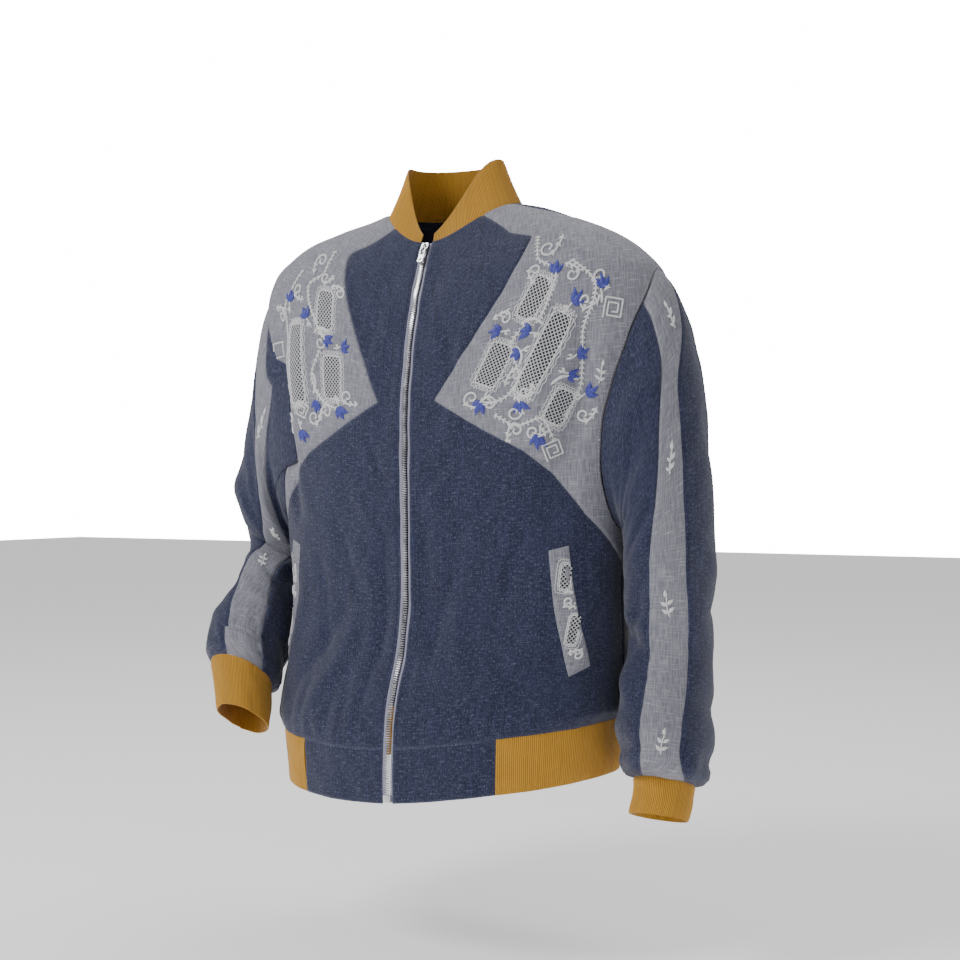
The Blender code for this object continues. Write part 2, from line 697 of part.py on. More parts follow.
def panel(
    name, cloth, outline, material, thick, lift=0.0, step=PANEL_STEP, normals=None, trims=(), guides=()
):
    """A cut piece of cloth: its outline's places are triangulated, put on the sheet and given a
    wall inwards. Each trim is (name, run, material, thickness), a piece that lies on this one.
    Each guide is a run across the piece whose points its mesh must have."""
    flat_outline = cloth.flat(outline.uv)
    flat_trims = [cloth.flat(trim[1].uv) for trim in trims]
    flat_guides = [cloth.flat(guide.uv) for guide in guides]
    places = grid_within(flat_outline, step, flat_trims, flat_guides)
    layers = [flat_outline] + flat_trims
    edges, start = [], 0
    for layer in layers:
        edges += [(start + i, start + (i + 1) % len(layer)) for i in range(len(layer))]
        start += len(layer)
    cloud = np.concatenate(layers + flat_guides + [places])
    found = delaunay_2d_cdt([Vector(p) for p in cloud], edges, [], 1, 1e-7)
    order = [ids[0] for ids in found[3]]
    faces = [[order[i] for i in face] for face in found[2]]

    uv = [outline.uv] + [trim[1].uv for trim in trims] + [guide.uv for guide in guides]
    uv = np.concatenate(uv + [cloth.unflat(places)])
    points = cloth.point(uv[:, 0], uv[:, 1])
    points[: len(outline.uv)] = outline.points
    directions = cloth.normal(uv[:, 0], uv[:, 1])
    if normals:
        directions = normals.of(cloth, points, directions)
    first = faces[0]
    facing = np.cross(points[first[1]] - points[first[0]], points[first[2]] - points[first[0]])
    if facing @ directions[first[0]] < 0:
        faces = [face[::-1] for face in faces]

    rim = len(outline.uv)
    spokes = points[:rim] - points[:rim].mean(axis=0)
    area = np.cross(spokes, np.roll(spokes, -1, axis=0))
    winding = 1 if np.sum(area * directions[:rim]) > 0 else -1
    edge = inset(points[:rim], directions[:rim], SEAM_HALF_GAP * winding)
    points = points.copy()
    points[:rim] = edge
    made = solid_from_sheet(
        name, *tidy_layers(points + directions * lift, points + directions * (lift - thick), faces), material
    )

    centres = np.array([cloud[face].mean(axis=0) for face in faces])
    for (trim_name, _, trim_material, trim_thick), flat_trim in zip(trims, flat_trims):
        chosen = [face for face, within in zip(faces, inside(flat_trim, centres)) if within]
        low = points + directions * (lift + REST_GAP)
        high = points + directions * (lift + REST_GAP + trim_thick)
        solid_from_sheet(trim_name, *tidy_layers(high, low, chosen), trim_material)
    return made


def tube(name, cloth, angles, downs, material, thick):
    """A closed ring of cloth, such as a cuff, drawn in by half a seam at its first end."""
    count = len(angles)
    points, directions = [], []
    for down in downs:
        points.append(cloth.point(angles, np.full(count, down)))
        directions.append(cloth.normal(angles, np.full(count, down)))
    along = points[1] - points[0]
    points[0] = points[0] + along / np.linalg.norm(along, axis=1)[:, None] * SEAM_HALF_GAP
    outer, out = np.concatenate(points), np.concatenate(directions)
    faces = []
    for row in range(len(downs) - 1):
        for i in range(count):
            j = (i + 1) % count
            faces.append([row * count + i, row * count + j, (row + 1) * count + j, (row + 1) * count + i])
    first = faces[0]
    facing = np.cross(outer[first[1]] - outer[first[0]], outer[first[3]] - outer[first[0]])
    if facing @ out[first[0]] < 0:
        faces = [face[::-1] for face in faces]
    return solid_from_sheet(name, outer, outer - out * thick, faces, material)


def side_runs(body, armhole, side):
    """Every seam of one side of the body, by name."""

    def place(point, back=False):
        away = np.degrees(atan2(point.x, 105))
        guess = (side * (180 - away if back else away), body.down_at(point.z + 22))
        return tuple(body.locate((0, 2), (side * point.x * MM, point.z * MM), guess))

    neck_angle, neck_end = side * INSERT_NECK_ANGLE[side], (side * SHOULDER_NECK_ANGLE, 0)
    side_low, side_hem = (side * 90, body.down_at(INSERT_SIDE_Z)), (side * 90, body.hem)
    underarm = tuple(armhole.uv[list(armhole.turns).index(UNDERARM)])
    shoulder = tuple(armhole.uv[list(armhole.turns).index(0)])
    shoulder_start = shoulder_place(body, side)
    tip, back_tip = place(INSERT_TIP), place(BACK_TIP, back=True)

    downs = np.linspace(0, body.hem, ZIP_PARTS + 1)
    band_downs = np.linspace(body.hem, body.end, BAND_PARTS + 1)
    tape_line = body.angle_at_x(downs, side * TAPE_EDGE)
    band_line = body.angle_at_x(band_downs, side * TAPE_EDGE)
    band_end = float(body.angle_at_x(np.array([body.hem]), side * BAND_END_X)[0])
    centre = line_of(body, body.angle_at_x(downs, side * ZIP_OPENING), downs)
    band_centre = line_of(body, body.angle_at_x(band_downs, side * ZIP_OPENING), band_downs)
    neck_front = [tuple(centre.uv[0]), (float(tape_line[0]), 0), (side * 24, 0), (neck_angle, 0)]
    welt = seam(body, [place(p) for p in WELT + WELT[:1]], TRIM_STEP)
    return dict(
        centre=centre,
        band_centre=band_centre,
        tape_line=line_of(body, tape_line[1:-1], downs[1:-1]),
        band_line=line_of(body, band_line[1:-1], band_downs[1:-1]),
        neck_front=seam(body, neck_front, NECK_STEP),
        neck_insert=seam(body, [(neck_angle, 0), neck_end], NECK_STEP),
        shoulder_in=seam(body, [neck_end, shoulder_start]),
        shoulder_out=seam(body, [shoulder_start, shoulder]),
        insert_front=seam(body, [(neck_angle, 0)] + [place(p) for p in INSERT_EDGE[side]] + [tip]),
        insert_lower=seam(body, [tip] + [place(p) for p in INSERT_LOWER] + [side_low]),
        back_edge=seam(body, [shoulder_start, back_tip]),
        back_lower=seam(body, [back_tip] + [place(p, back=True) for p in BACK_LOWER] + [side_low]),
        underarm_side=seam(body, [underarm, side_low]),
        side_front=seam(body, [side_low, side_hem]),
        hem_band=seam(body, [tuple(centre.uv[-1]), (band_end, body.hem)]),
        hem_rest=seam(body, [(band_end, body.hem), side_hem]),
        band_side=seam(body, [(band_end, body.hem), (band_end, body.end)]),
        band_low=seam(body, [tuple(band_centre.uv[-1]), (band_end, body.end)]),
        welt=Run(welt.uv[:-1], welt.points[:-1]),
    )


def shoulder_place(body, side):
    """Where the shoulder seam is BACK_SHOULDER_X from the middle."""
    angle = side * BACK_SHOULDER_ANGLE
    downs = np.linspace(0, body.down_at(-100), 200)
    x = np.abs(body.point(np.full(200, float(angle)), downs)[:, 0])
    return (angle, float(np.interp(BACK_SHOULDER_X * MM, x, downs)))


def back_neck(body):
    """The neck seam from one shoulder round the back to the other."""
    first, last = SHOULDER_NECK_ANGLE, 360 - SHOULDER_NECK_ANGLE
    return seam(body, [(angle, 0) for angle in np.linspace(first, last, 5)], NECK_STEP)


def make_front(body, runs, word, normals):
    """One front, with the pocket's welt laid on it."""
    outline = loop_of(
        runs["centre"],
        joined(runs["hem_band"], runs["hem_rest"]),
        backwards(runs["side_front"]),
        backwards(runs["insert_lower"]),
        backwards(runs["insert_front"]),
        backwards(runs["neck_front"]),
    )
    welt = ("welt_" + word, runs["welt"], "grey_cloth", PATCH_THICK)
    name = "front_panel_" + word
    guides = [runs["tape_line"]]
    panel(name, body, outline, "denim", DENIM_THICK, normals=normals, trims=[welt], guides=guides)


def make_chest_insert(body, runs, armhole, word, normals):
    """The light piece from the neck over the chest to the side seam."""
    outline = loop_of(
        runs["insert_front"],
        runs["insert_lower"],
        backwards(runs["underarm_side"]),
        backwards(armhole.run(0, UNDERARM)),
        backwards(runs["shoulder_out"]),
        backwards(runs["shoulder_in"]),
        backwards(runs["neck_insert"]),
    )
    panel("chest_insert_" + word, body, outline, "grey_cloth", GREY_THICK, normals=normals)


def make_back_insert(body, runs, armhole, word, normals):
    """The light piece behind the shoulder."""
    arm = armhole.run(UNDERARM, 360)
    shoulder = runs["shoulder_out"]
    arm = Run(np.concatenate([arm.uv, shoulder.uv[-1:]]), np.concatenate([arm.points, shoulder.points[-1:]]))
    outline = loop_of(
        runs["back_edge"], runs["back_lower"], backwards(runs["underarm_side"]), arm, backwards(shoulder)
    )
    panel("back_insert_" + word, body, outline, "grey_cloth", GREY_THICK, normals=normals)


def make_hem_band(body, runs, word, normals):
    """The denim part of the hem, beside the zip."""
    outline = loop_of(
        runs["band_centre"], runs["band_low"], backwards(runs["band_side"]), backwards(runs["hem_band"])
    )
    guides = [runs["band_line"]]
    panel("hem_band_" + word, body, outline, "denim", DENIM_THICK, normals=normals, guides=guides)


def make_back(body, left, right, normals):
    """The back, from the neck to the hem's seam."""
    outline = loop_of(
        back_neck(body),
        right["shoulder_in"],
        right["back_edge"],
        right["back_lower"],
        right["side_front"],
        backwards(back_hem(body)),
        backwards(left["side_front"]),
        backwards(left["back_lower"]),
        backwards(left["back_edge"]),
        backwards(left["shoulder_in"]),
    )
    panel("back_panel", body, outline, "denim", DENIM_THICK, normals=normals)


def back_hem(body):
    return seam(body, [(angle, body.hem) for angle in (90, 135, 180, 225, 270)])


def make_hem_rib(body, left, right, normals):
    """The hem's rib, from the end of one band round the back to the other."""
    ends = [left["band_side"].uv[-1, 0], 90, 180, 270, right["band_side"].uv[-1, 0]]
    outline = loop_of(
        left["hem_rest"],
        back_hem(body),
        backwards(right["hem_rest"]),
        right["band_side"],
        backwards(seam(body, [(angle, body.end) for angle in ends])),
        backwards(left["band_side"]),
    )
    panel("hem_rib", body, outline, "rib", RIB_THICK, normals=normals)


def make_collar(body, left, right, normals):
    """The collar, on the same points as the neck seam."""
    collar = Collar(body)
    foot = joined(
        left["neck_front"],
        left["neck_insert"],
        back_neck(body),
        backwards(right["neck_insert"]),
        backwards(right["neck_front"]),
    )
    kept = (np.abs(foot.points[:, 0]) > COLLAR_END) | (foot.points[:, 1] > 0)
    angles, points = foot.uv[kept, 0], foot.points[kept]
    foot = Run(np.stack([angles, np.zeros(len(angles))], axis=1), points)
    first, last = angles[0], angles[-1]
    top = line_of(collar, np.linspace(first, last, COLLAR_PARTS + 1), np.full(COLLAR_PARTS + 1, 1.0))
    outline = loop_of(
        foot, seam(collar, [(last, 0), (last, 1)]), backwards(top), seam(collar, [(first, 1), (first, 0)])
    )
    panel("collar", collar, outline, "rib", RIB_THICK, step=COLLAR_STEP, normals=normals)


def between(cloth, first, last):
    """A row of points from one place to another, without its ends."""
    parts = max(2, int(ceil((last[0] - first[0]) / GUIDE_ANGLE)))
    shares = np.arange(1, parts)[:, None] / parts
    return Run(first + shares * (last - first), None)


def make_sleeve(sleeve, armhole, word, normals):
    """The front, stripe and back of a sleeve, its cuff, and the right one's block."""
    block_top = sleeve.cuff - BLOCK_TALL if word == "right" else sleeve.cuff

    def arm_run(first, last, whole=0):
        """The armhole's seam, in the sleeve's own angles."""
        turns = [t for t in armhole.turns if first - 0.01 <= t <= last + 0.01]
        return moved_uv(armhole.run(first, last), [(t - sleeve.first_turn - whole, 0) for t in turns])

    def line(angles, downs, turn):
        made = line_of(sleeve, angles, downs)
        if downs[0] == 0:
            made.points[0] = armhole.run(turn, turn).points[0]
        return made

    upper = np.linspace(0, block_top, int(round(block_top / SLEEVE_STEP)) + 1)
    lower = np.linspace(block_top, sleeve.cuff, 3)
    front = line(sleeve.stripe_edge(upper, 1), upper, STRIPE_LAST)
    back = line(sleeve.stripe_edge(upper, -1), upper, STRIPE_FIRST)
    under = line(sleeve.underarm_edge(upper), upper, UNDERARM)
    under_behind = turned(under, -WHOLE_TURN)
    guides = {}
    sides = {"stripe": (back, front), "front": (front, under), "back": (under_behind, back)}
    for piece, (first, last) in sides.items():
        guides[piece] = [between(sleeve, first.uv[row], last.uv[row]) for row in (1, 2, 3)]
    stripe_low = seam(sleeve, [tuple(back.uv[-1]), tuple(front.uv[-1])])
    stripe = loop_of(arm_run(STRIPE_FIRST, STRIPE_LAST), front, backwards(stripe_low), backwards(back))
    settings = dict(step=SLEEVE_PANEL_STEP, normals=normals)
    name = "sleeve_stripe_" + word
    panel(name, sleeve, stripe, "grey_cloth", GREY_THICK, guides=guides["stripe"], **settings)

    cuff_stripe = stripe_low
    if word == "right":
        block_front = line(sleeve.stripe_edge(lower, 1), lower, None)
        block_edge = back.uv[-1, 0] - BLOCK_STEP
        step_out = seam(sleeve, [tuple(back.uv[-1]), (block_edge, block_top)])
        block_back = line(np.full(len(lower), block_edge), lower, None)
        cuff_stripe = seam(sleeve, [tuple(block_back.uv[-1]), tuple(block_front.uv[-1])])
        block_top_run = joined(backwards(step_out), stripe_low)
        block = loop_of(block_top_run, block_front, backwards(cuff_stripe), backwards(block_back))
        panel("sleeve_patch_right", sleeve, block, "grey_cloth", GREY_THICK, **settings)
        front = joined(front, block_front)
        back = joined(back, step_out, block_back)
        under = joined(under, line(sleeve.underarm_edge(lower), lower, None))

    under_behind = turned(under, -WHOLE_TURN)
    cuff_front = seam(sleeve, [tuple(front.uv[-1]), tuple(under.uv[-1])])
    cuff_back = seam(sleeve, [tuple(under_behind.uv[-1]), tuple(back.uv[-1])])
    outline = loop_of(arm_run(STRIPE_LAST, UNDERARM), under, backwards(cuff_front), backwards(front))
    name = "sleeve_front_" + word
    panel(name, sleeve, outline, "denim", DENIM_THICK, guides=guides["front"], **settings)
    outline = loop_of(
        arm_run(UNDERARM, 360 + STRIPE_FIRST, WHOLE_TURN), back, backwards(cuff_back), backwards(under_behind)
    )
    name = "sleeve_back_" + word
    panel(name, sleeve, outline, "denim", DENIM_THICK, guides=guides["back"], **settings)
    angles = np.concatenate([run.uv[:-1, 0] for run in (cuff_back, cuff_stripe, cuff_front)])
    downs = np.linspace(sleeve.cuff, sleeve.end, CUFF_PARTS + 1)
    tube("cuff_" + word, sleeve, angles, downs, "rib", RIB_THICK)


def make_tape(body, runs, side, word):
    """One tape, behind the edges of the front and its hem band."""
    downs = np.concatenate([runs["centre"].uv[:, 1], runs["band_centre"].uv[1:, 1]])
    downs[[0, -1]] += [1 * MM, -1 * MM]
    near = line_of(body, body.angle_at_x(downs, side * (CHAIN_HALF + REST_GAP / 2)), downs)
    far = line_of(body, body.angle_at_x(downs, side * TAPE_EDGE), downs)
    top = seam(body, [tuple(far.uv[0]), tuple(near.uv[0])])
    low = seam(body, [tuple(near.uv[-1]), tuple(far.uv[-1])])
    outline = loop_of(near, low, backwards(far), top)
    panel("zip_tape_" + word, body, outline, "zip_tape", TAPE_THICK, lift=-TAPE_BEHIND)


def make_chain(body):
    """The plain strip that the teeth fill, from under the slider to the box."""
    downs = np.linspace(0, body.hem, ZIP_PARTS + 1)
    downs = np.concatenate([downs, np.linspace(body.hem, body.end, BAND_PARTS + 1)[1:]])
    downs[0] = ZIP_TOP_DOWN
    downs[-1] = body.end - BOX_END - BOX_TALL
    half = CHAIN_HALF + SEAM_HALF_GAP
    left, right = (line_of(body, body.angle_at_x(downs, x), downs) for x in (half, -half))
    low = seam(body, [tuple(left.uv[-1]), tuple(right.uv[-1])])
    top = seam(body, [tuple(right.uv[0]), tuple(left.uv[0])])
    panel("zip_chain", body, loop_of(left, low, backwards(right), top), "metal", CHAIN_THICK)


class FrontFrame:
    """Axes on the front's middle line: x across, down along the cloth, out from it."""

    def __init__(self, body, down):
        self.at = body.point([0.0], [down])[0]
        ahead = body.point([0.0], [down + 4 * MM])[0] - body.point([0.0], [down - 4 * MM])[0]
        self.along = ahead / np.linalg.norm(ahead)
        self.across = np.array([1.0, 0, 0])
        self.out = np.cross(self.along, self.across)
        if self.out[1] > 0:
            self.out = -self.out

    def place(self, points):
        points = np.array(points, float)
        return self.at + points[:, :1] * self.across + points[:, 1:2] * self.along + points[:, 2:] * self.out


def prism(name, frame, outline, low, high, material, holes=()):
    """A plate with a flat outline across and along the front, between two heights off it."""
    layers = [np.array(outline, float)] + [np.array(hole, float) for hole in holes]
    edges, start = [], 0
    for layer in layers:
        edges += [(start + i, start + (i + 1) % len(layer)) for i in range(len(layer))]
        start += len(layer)
    cloud = np.concatenate(layers)
    found = delaunay_2d_cdt([Vector(p) for p in cloud], edges, [], 1, 1e-7)
    order = [ids[0] for ids in found[3]]
    faces = [[order[i] for i in face] for face in found[2]]
    for layer in layers[1:]:
        centres = np.array([cloud[face].mean(axis=0) for face in faces])
        faces = [face for face, within in zip(faces, inside(layer, centres)) if not within]
    high_layer = frame.place(np.column_stack([cloud, np.full(len(cloud), high)]))
    low_layer = frame.place(np.column_stack([cloud, np.full(len(cloud), low)]))
    corner, second, third = high_layer[faces[0][:3]]
    if np.cross(second - corner, third - corner) @ frame.out < 0:
        faces = [face[::-1] for face in faces]
    return solid_from_sheet(name, high_layer, low_layer, faces, material)


def round_box(half, low, high, corner, parts=3):
    """An upright oblong with round corners, from low to high along the front."""
    points = []
    for x, y, start in ((half, high, 0), (-half, high, 90), (-half, low, 180), (half, low, 270)):
        middle = (x - np.sign(x) * corner, y - corner if y == high else y + corner)
        for i in range(parts + 1):
            turn = radians(start + 90 * i / parts)
            points.append((middle[0] + corner * cos(turn), middle[1] + corner * sin(turn)))
    return points


def make_slider(body):
    """The slider's front plate with the arch that its pull hangs in."""
    frame = FrontFrame(body, SLIDER_DOWN)
    half_tall = SLIDER_TALL / 2
    plate = [
        (-SLIDER_LOW_HALF, half_tall),
        (SLIDER_LOW_HALF, half_tall),
        (SLIDER_TOP_HALF, -half_tall * 0.3),
        (SLIDER_TOP_HALF * 0.8, -half_tall),
        (-SLIDER_TOP_HALF * 0.8, -half_tall),
        (-SLIDER_TOP_HALF, -half_tall * 0.3),
    ]
    low, top = SLIDER_LIFT, SLIDER_LIFT + SLIDER_THICK
    slider = prism("zip_slider", frame, plate, low, top, "metal")
    arch = arch_solid(frame, top)
    join = slider.modifiers.new("arch", "BOOLEAN")
    join.operation = "UNION"
    join.object = arch
    return frame


def arch_solid(frame, plate_top):
    """A narrow bridge over the plate, sunk a little into it, as the cutter of a union."""
    foot = ARCH_TALL / 2
    sunk = plate_top - 0.6 * MM
    inner_top = plate_top + ARCH_INSIDE
    outer_top = inner_top + ARCH_WALL
    side = [
        (-foot, sunk),
        (-foot, outer_top - 0.8 * MM),
        (-foot + 0.8 * MM, outer_top),
        (foot - 0.8 * MM, outer_top),
        (foot, outer_top - 0.8 * MM),
        (foot, sunk),
        (foot - ARCH_WALL, sunk),
        (foot - ARCH_WALL, inner_top),
        (-foot + ARCH_WALL, inner_top),
        (-foot + ARCH_WALL, sunk),
    ]
    count = len(side)
    points = [(x, along, out) for x in (-ARCH_HALF, ARCH_HALF) for along, out in side]
    ring = list(range(count))
    faces = [tuple(ring), tuple(count + i for i in reversed(ring))]
    faces += [(i, i + count, (i + 1) % count + count, (i + 1) % count) for i in range(count)]
    mesh = bpy.data.meshes.new("arch")
    mesh.from_pydata(frame.place(points).tolist(), [], faces)
    arch = bpy.data.objects.new("arch", mesh)
    bpy.context.collection.objects.link(arch)
    arch.hide_render = True
    arch.display_type = "WIRE"
    return arch


def make_pull(frame):
    """The pull tab: a plate with a window and a hole, hung by its upper bar through the arch."""
    bar_out = SLIDER_LIFT + SLIDER_THICK + ARCH_INSIDE / 2
    bar_at = ARCH_TALL / 2 - ARCH_WALL - PULL_BAR - 0.3 * MM
    top = bar_at - PULL_BAR
    low = top + PULL_LONG
    outline = round_box(PULL_HALF, top, low, PULL_CORNER)
    window = round_box(WINDOW_HALF, top + 2 * PULL_BAR, top + 2 * PULL_BAR + WINDOW_LONG, 0.5 * MM)
    hole_at = low - HOLE_UP
    hole = [(HOLE_RADIUS * cos(i * pi / 6), hole_at + HOLE_RADIUS * sin(i * pi / 6)) for i in range(12)]
    prism(
        "zip_pull",
        frame,
        outline,
        bar_out - PULL_THICK / 2,
        bar_out + PULL_THICK / 2,
        "metal",
        holes=[window, hole],
    )
    pivot = frame.place([(0, bar_at, bar_out)])[0]
    print("pull pivot", np.round(pivot, 5))


def make_box(body):
    """The retaining box at the zip's lower end."""
    frame = FrontFrame(body, body.end - BOX_END + REST_GAP - BOX_TALL / 2)
    outline = round_box(BOX_HALF, -BOX_TALL / 2 + REST_GAP, BOX_TALL / 2, 0.8 * MM)
    prism("zip_box", frame, outline, BOX_FRONT - BOX_THICK, BOX_FRONT, "metal")


def main():
    clear_scene()
    body = Body()
    armholes = {side: Armhole(body, side) for side in (1, -1)}
    sleeves = {
        1: Sleeve(1, LEFT_SLEEVE, LEFT_CUFF_ROW, LEFT_SLEEVE_FOLDS, armholes[1]),
        -1: Sleeve(-1, RIGHT_SLEEVE, RIGHT_CUFF_ROW, RIGHT_SLEEVE_FOLDS, armholes[-1]),
    }
    normals = Mitres()
    runs = {}
    for side, armhole in armholes.items():
        starts = np.full(len(armhole.turns), 1 * MM)
        along_sleeve = sleeves[side].normal(armhole.turns - sleeves[side].first_turn, starts)
        along_body = body.normal(armhole.uv[:, 0], armhole.uv[:, 1])
        normals.share(armhole.points, body, sleeves[side], along_body, along_sleeve)
        runs[side] = side_runs(body, armhole, side)

    for side, word in ((1, "left"), (-1, "right")):
        make_front(body, runs[side], word, normals)
        make_chest_insert(body, runs[side], armholes[side], word, normals)
        make_back_insert(body, runs[side], armholes[side], word, normals)
        make_hem_band(body, runs[side], word, normals)
        make_tape(body, runs[side], side, word)
        make_sleeve(sleeves[side], armholes[side], word, normals)
    left = runs[1]
    right = {name: turned(run, WHOLE_TURN) for name, run in runs[-1].items()}
    make_back(body, left, right, normals)
    make_hem_rib(body, left, right, normals)
    make_collar(body, left, right, normals)
    make_chain(body)
    frame = make_slider(body)
    make_pull(frame)
    make_box(body)


main()
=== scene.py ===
# %% [markdown]
# # A zipped bomber jacket in its worn, hollow shape
# The jacket is indigo denim with light grey slubbed pieces over the chest, the shoulders and down
# the sleeves. Its collar, cuffs and hem are mustard rib, and it closes with a metal zip. The packed
# solids give every piece its place. Here each piece of cloth is cut again as a thin fine shell on
# the same curves, so that seams, creases, ribs, stitches and needlework can be real shapes.

from collections import namedtuple
from heapq import heappop, heappush
from math import atan2, ceil, cos, pi, radians, sin, sqrt

import bpy
import numpy as np
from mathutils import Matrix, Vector
from mathutils.geometry import delaunay_2d_cdt


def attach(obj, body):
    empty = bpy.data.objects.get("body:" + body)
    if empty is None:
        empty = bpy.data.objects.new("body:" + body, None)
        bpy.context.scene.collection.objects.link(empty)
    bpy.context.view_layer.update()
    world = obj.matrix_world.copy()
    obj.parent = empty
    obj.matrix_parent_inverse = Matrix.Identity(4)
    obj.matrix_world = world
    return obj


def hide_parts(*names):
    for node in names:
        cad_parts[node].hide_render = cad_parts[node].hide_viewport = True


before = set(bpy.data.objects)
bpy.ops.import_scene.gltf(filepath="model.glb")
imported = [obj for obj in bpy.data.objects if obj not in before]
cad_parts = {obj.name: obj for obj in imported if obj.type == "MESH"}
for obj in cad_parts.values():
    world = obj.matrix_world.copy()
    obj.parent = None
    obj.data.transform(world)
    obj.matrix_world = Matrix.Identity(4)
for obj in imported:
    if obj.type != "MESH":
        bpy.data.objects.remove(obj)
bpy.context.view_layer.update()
MM = 0.001
JACKET = "jacket"

# %% [markdown]
# ## Camera
# The picture looks at the jacket from the front and a little from its left side, level with its
# middle. A lens of medium length keeps the shoulders from looking too broad.

# %% Set the camera
CAMERA_FAR, CAMERA_TURN, CAMERA_HIGH = 1.75, 30, -0.297
CAMERA_LENS, CAMERA_SHIFT = 59.3, 0.0302
eye = bpy.data.objects.new("camera", bpy.data.cameras.new("camera"))
bpy.context.collection.objects.link(eye)
turn = radians(CAMERA_TURN)
eye.location = (CAMERA_FAR * sin(turn), -CAMERA_FAR * cos(turn), CAMERA_HIGH)
eye.rotation_euler = (pi / 2, 0, turn)
eye.data.lens, eye.data.shift_x = CAMERA_LENS, CAMERA_SHIFT
bpy.context.scene.camera = eye
print("camera at", tuple(round(x, 3) for x in eye.location))

# %% [markdown]
# ## Floor and light
# Cloth looks best in broad soft light, which rounds off its folds and leaves no hard shadows. One
# lamp stands high in front on the right sleeve's side, a weak one fills the left, and one above
# lifts the shoulders off the background.

# %% Make the floor and the lamps
FLOOR_Z, FLOOR_HALF, FLOOR_GLOW = -0.80, 9.0, 0.55
Lamp = namedtuple("Lamp", "name x y z size watts")
LAMPS = [
    Lamp("key", -1.2, -1.9, 1.9, 0.9, 60),
    Lamp("fill", 2.6, -1.3, 0.5, 1.6, 6),
    Lamp("top", 0.0, 0.9, 2.0, 1.6, 24),
]
LAMP_AIM = Vector((0, 0, -0.3))
SKY_LIGHT, SKY_SEEN = 0.3, 16.0


def make_lamp(lamp):
    made = bpy.data.objects.new(lamp.name, bpy.data.lights.new(lamp.name, "AREA"))
    made.data.energy, made.data.size = lamp.watts, lamp.size
    made.location = (lamp.x, lamp.y, lamp.z)
    made.rotation_euler = (LAMP_AIM - made.location).to_track_quat("-Z", "Y").to_euler()
    bpy.context.collection.objects.link(made)


def make_floor():
    mesh = bpy.data.meshes.new("floor")
    corners = [(-1, -1), (1, -1), (1, 1), (-1, 1)]
    mesh.from_pydata([(x * FLOOR_HALF, y * FLOOR_HALF, FLOOR_Z) for x, y in corners], [], [(0, 1, 2, 3)])
    floor = bpy.data.objects.new("floor", mesh)
    bpy.context.collection.objects.link(floor)
    return floor


for lamp in LAMPS:
    make_lamp(lamp)
floor = make_floor()
sky = bpy.data.worlds.new("sky")
sky.use_nodes = True
lit = sky.node_tree.nodes["Background"]
seen = sky.node_tree.nodes.new("ShaderNodeBackground")
for part, strength in ((lit, SKY_LIGHT), (seen, SKY_SEEN)):
    part.inputs["Color"].default_value = (1, 1, 1, 1)
    part.inputs["Strength"].default_value = strength
either, rays = sky.node_tree.nodes.new("ShaderNodeMixShader"), sky.node_tree.nodes.new("ShaderNodeLightPath")
sky.node_tree.links.new(rays.outputs["Is Camera Ray"], either.inputs[0])
sky.node_tree.links.new(lit.outputs[0], either.inputs[1])
sky.node_tree.links.new(seen.outputs[0], either.inputs[2])
sky.node_tree.links.new(either.outputs[0], sky.node_tree.nodes["World Output"].inputs[0])
bpy.context.scene.world = sky
print("lamps", len(LAMPS))

# %% [markdown]
# ## A short way to write a material
# A material is a tree of nodes. Wrapping a socket in a small class lets sums on it be written as
# sums, and one method makes any other node from its type, its settings and its sockets.


# %% Wrap a socket, and build a finish
class Sum:
    """A socket of a material, on which sums add their own Math nodes."""

    def __init__(self, finish, socket):
        self.finish, self.socket = finish, socket

    def math(self, operation, *others):
        values = dict(enumerate((self, *others)))
        return self.finish.node("ShaderNodeMath", {"operation": operation}, values)

    def __add__(self, other):
        return self.math("ADD", other)

    def __mul__(self, other):
        return self.math("MULTIPLY", other)

    def __sub__(self, other):
        return self.math("SUBTRACT", other)

    def __rsub__(self, other):
        return self.finish.node("ShaderNodeMath", {"operation": "SUBTRACT"}, {0: other, 1: self})

    __radd__, __rmul__ = __add__, __mul__

    def rise(self, low, high):
        """0 up to low, then smoothly to 1 at high."""
        limits = {"Value": self, "From Min": low, "From Max": high}
        return self.finish.node("ShaderNodeMapRange", {"interpolation_type": "SMOOTHSTEP"}, limits)

    def wave(self, pitch):
        """A wave from 0 to 1 with this pitch."""
        return (self * (2 * pi / pitch)).math("SINE") * 0.5 + 0.5


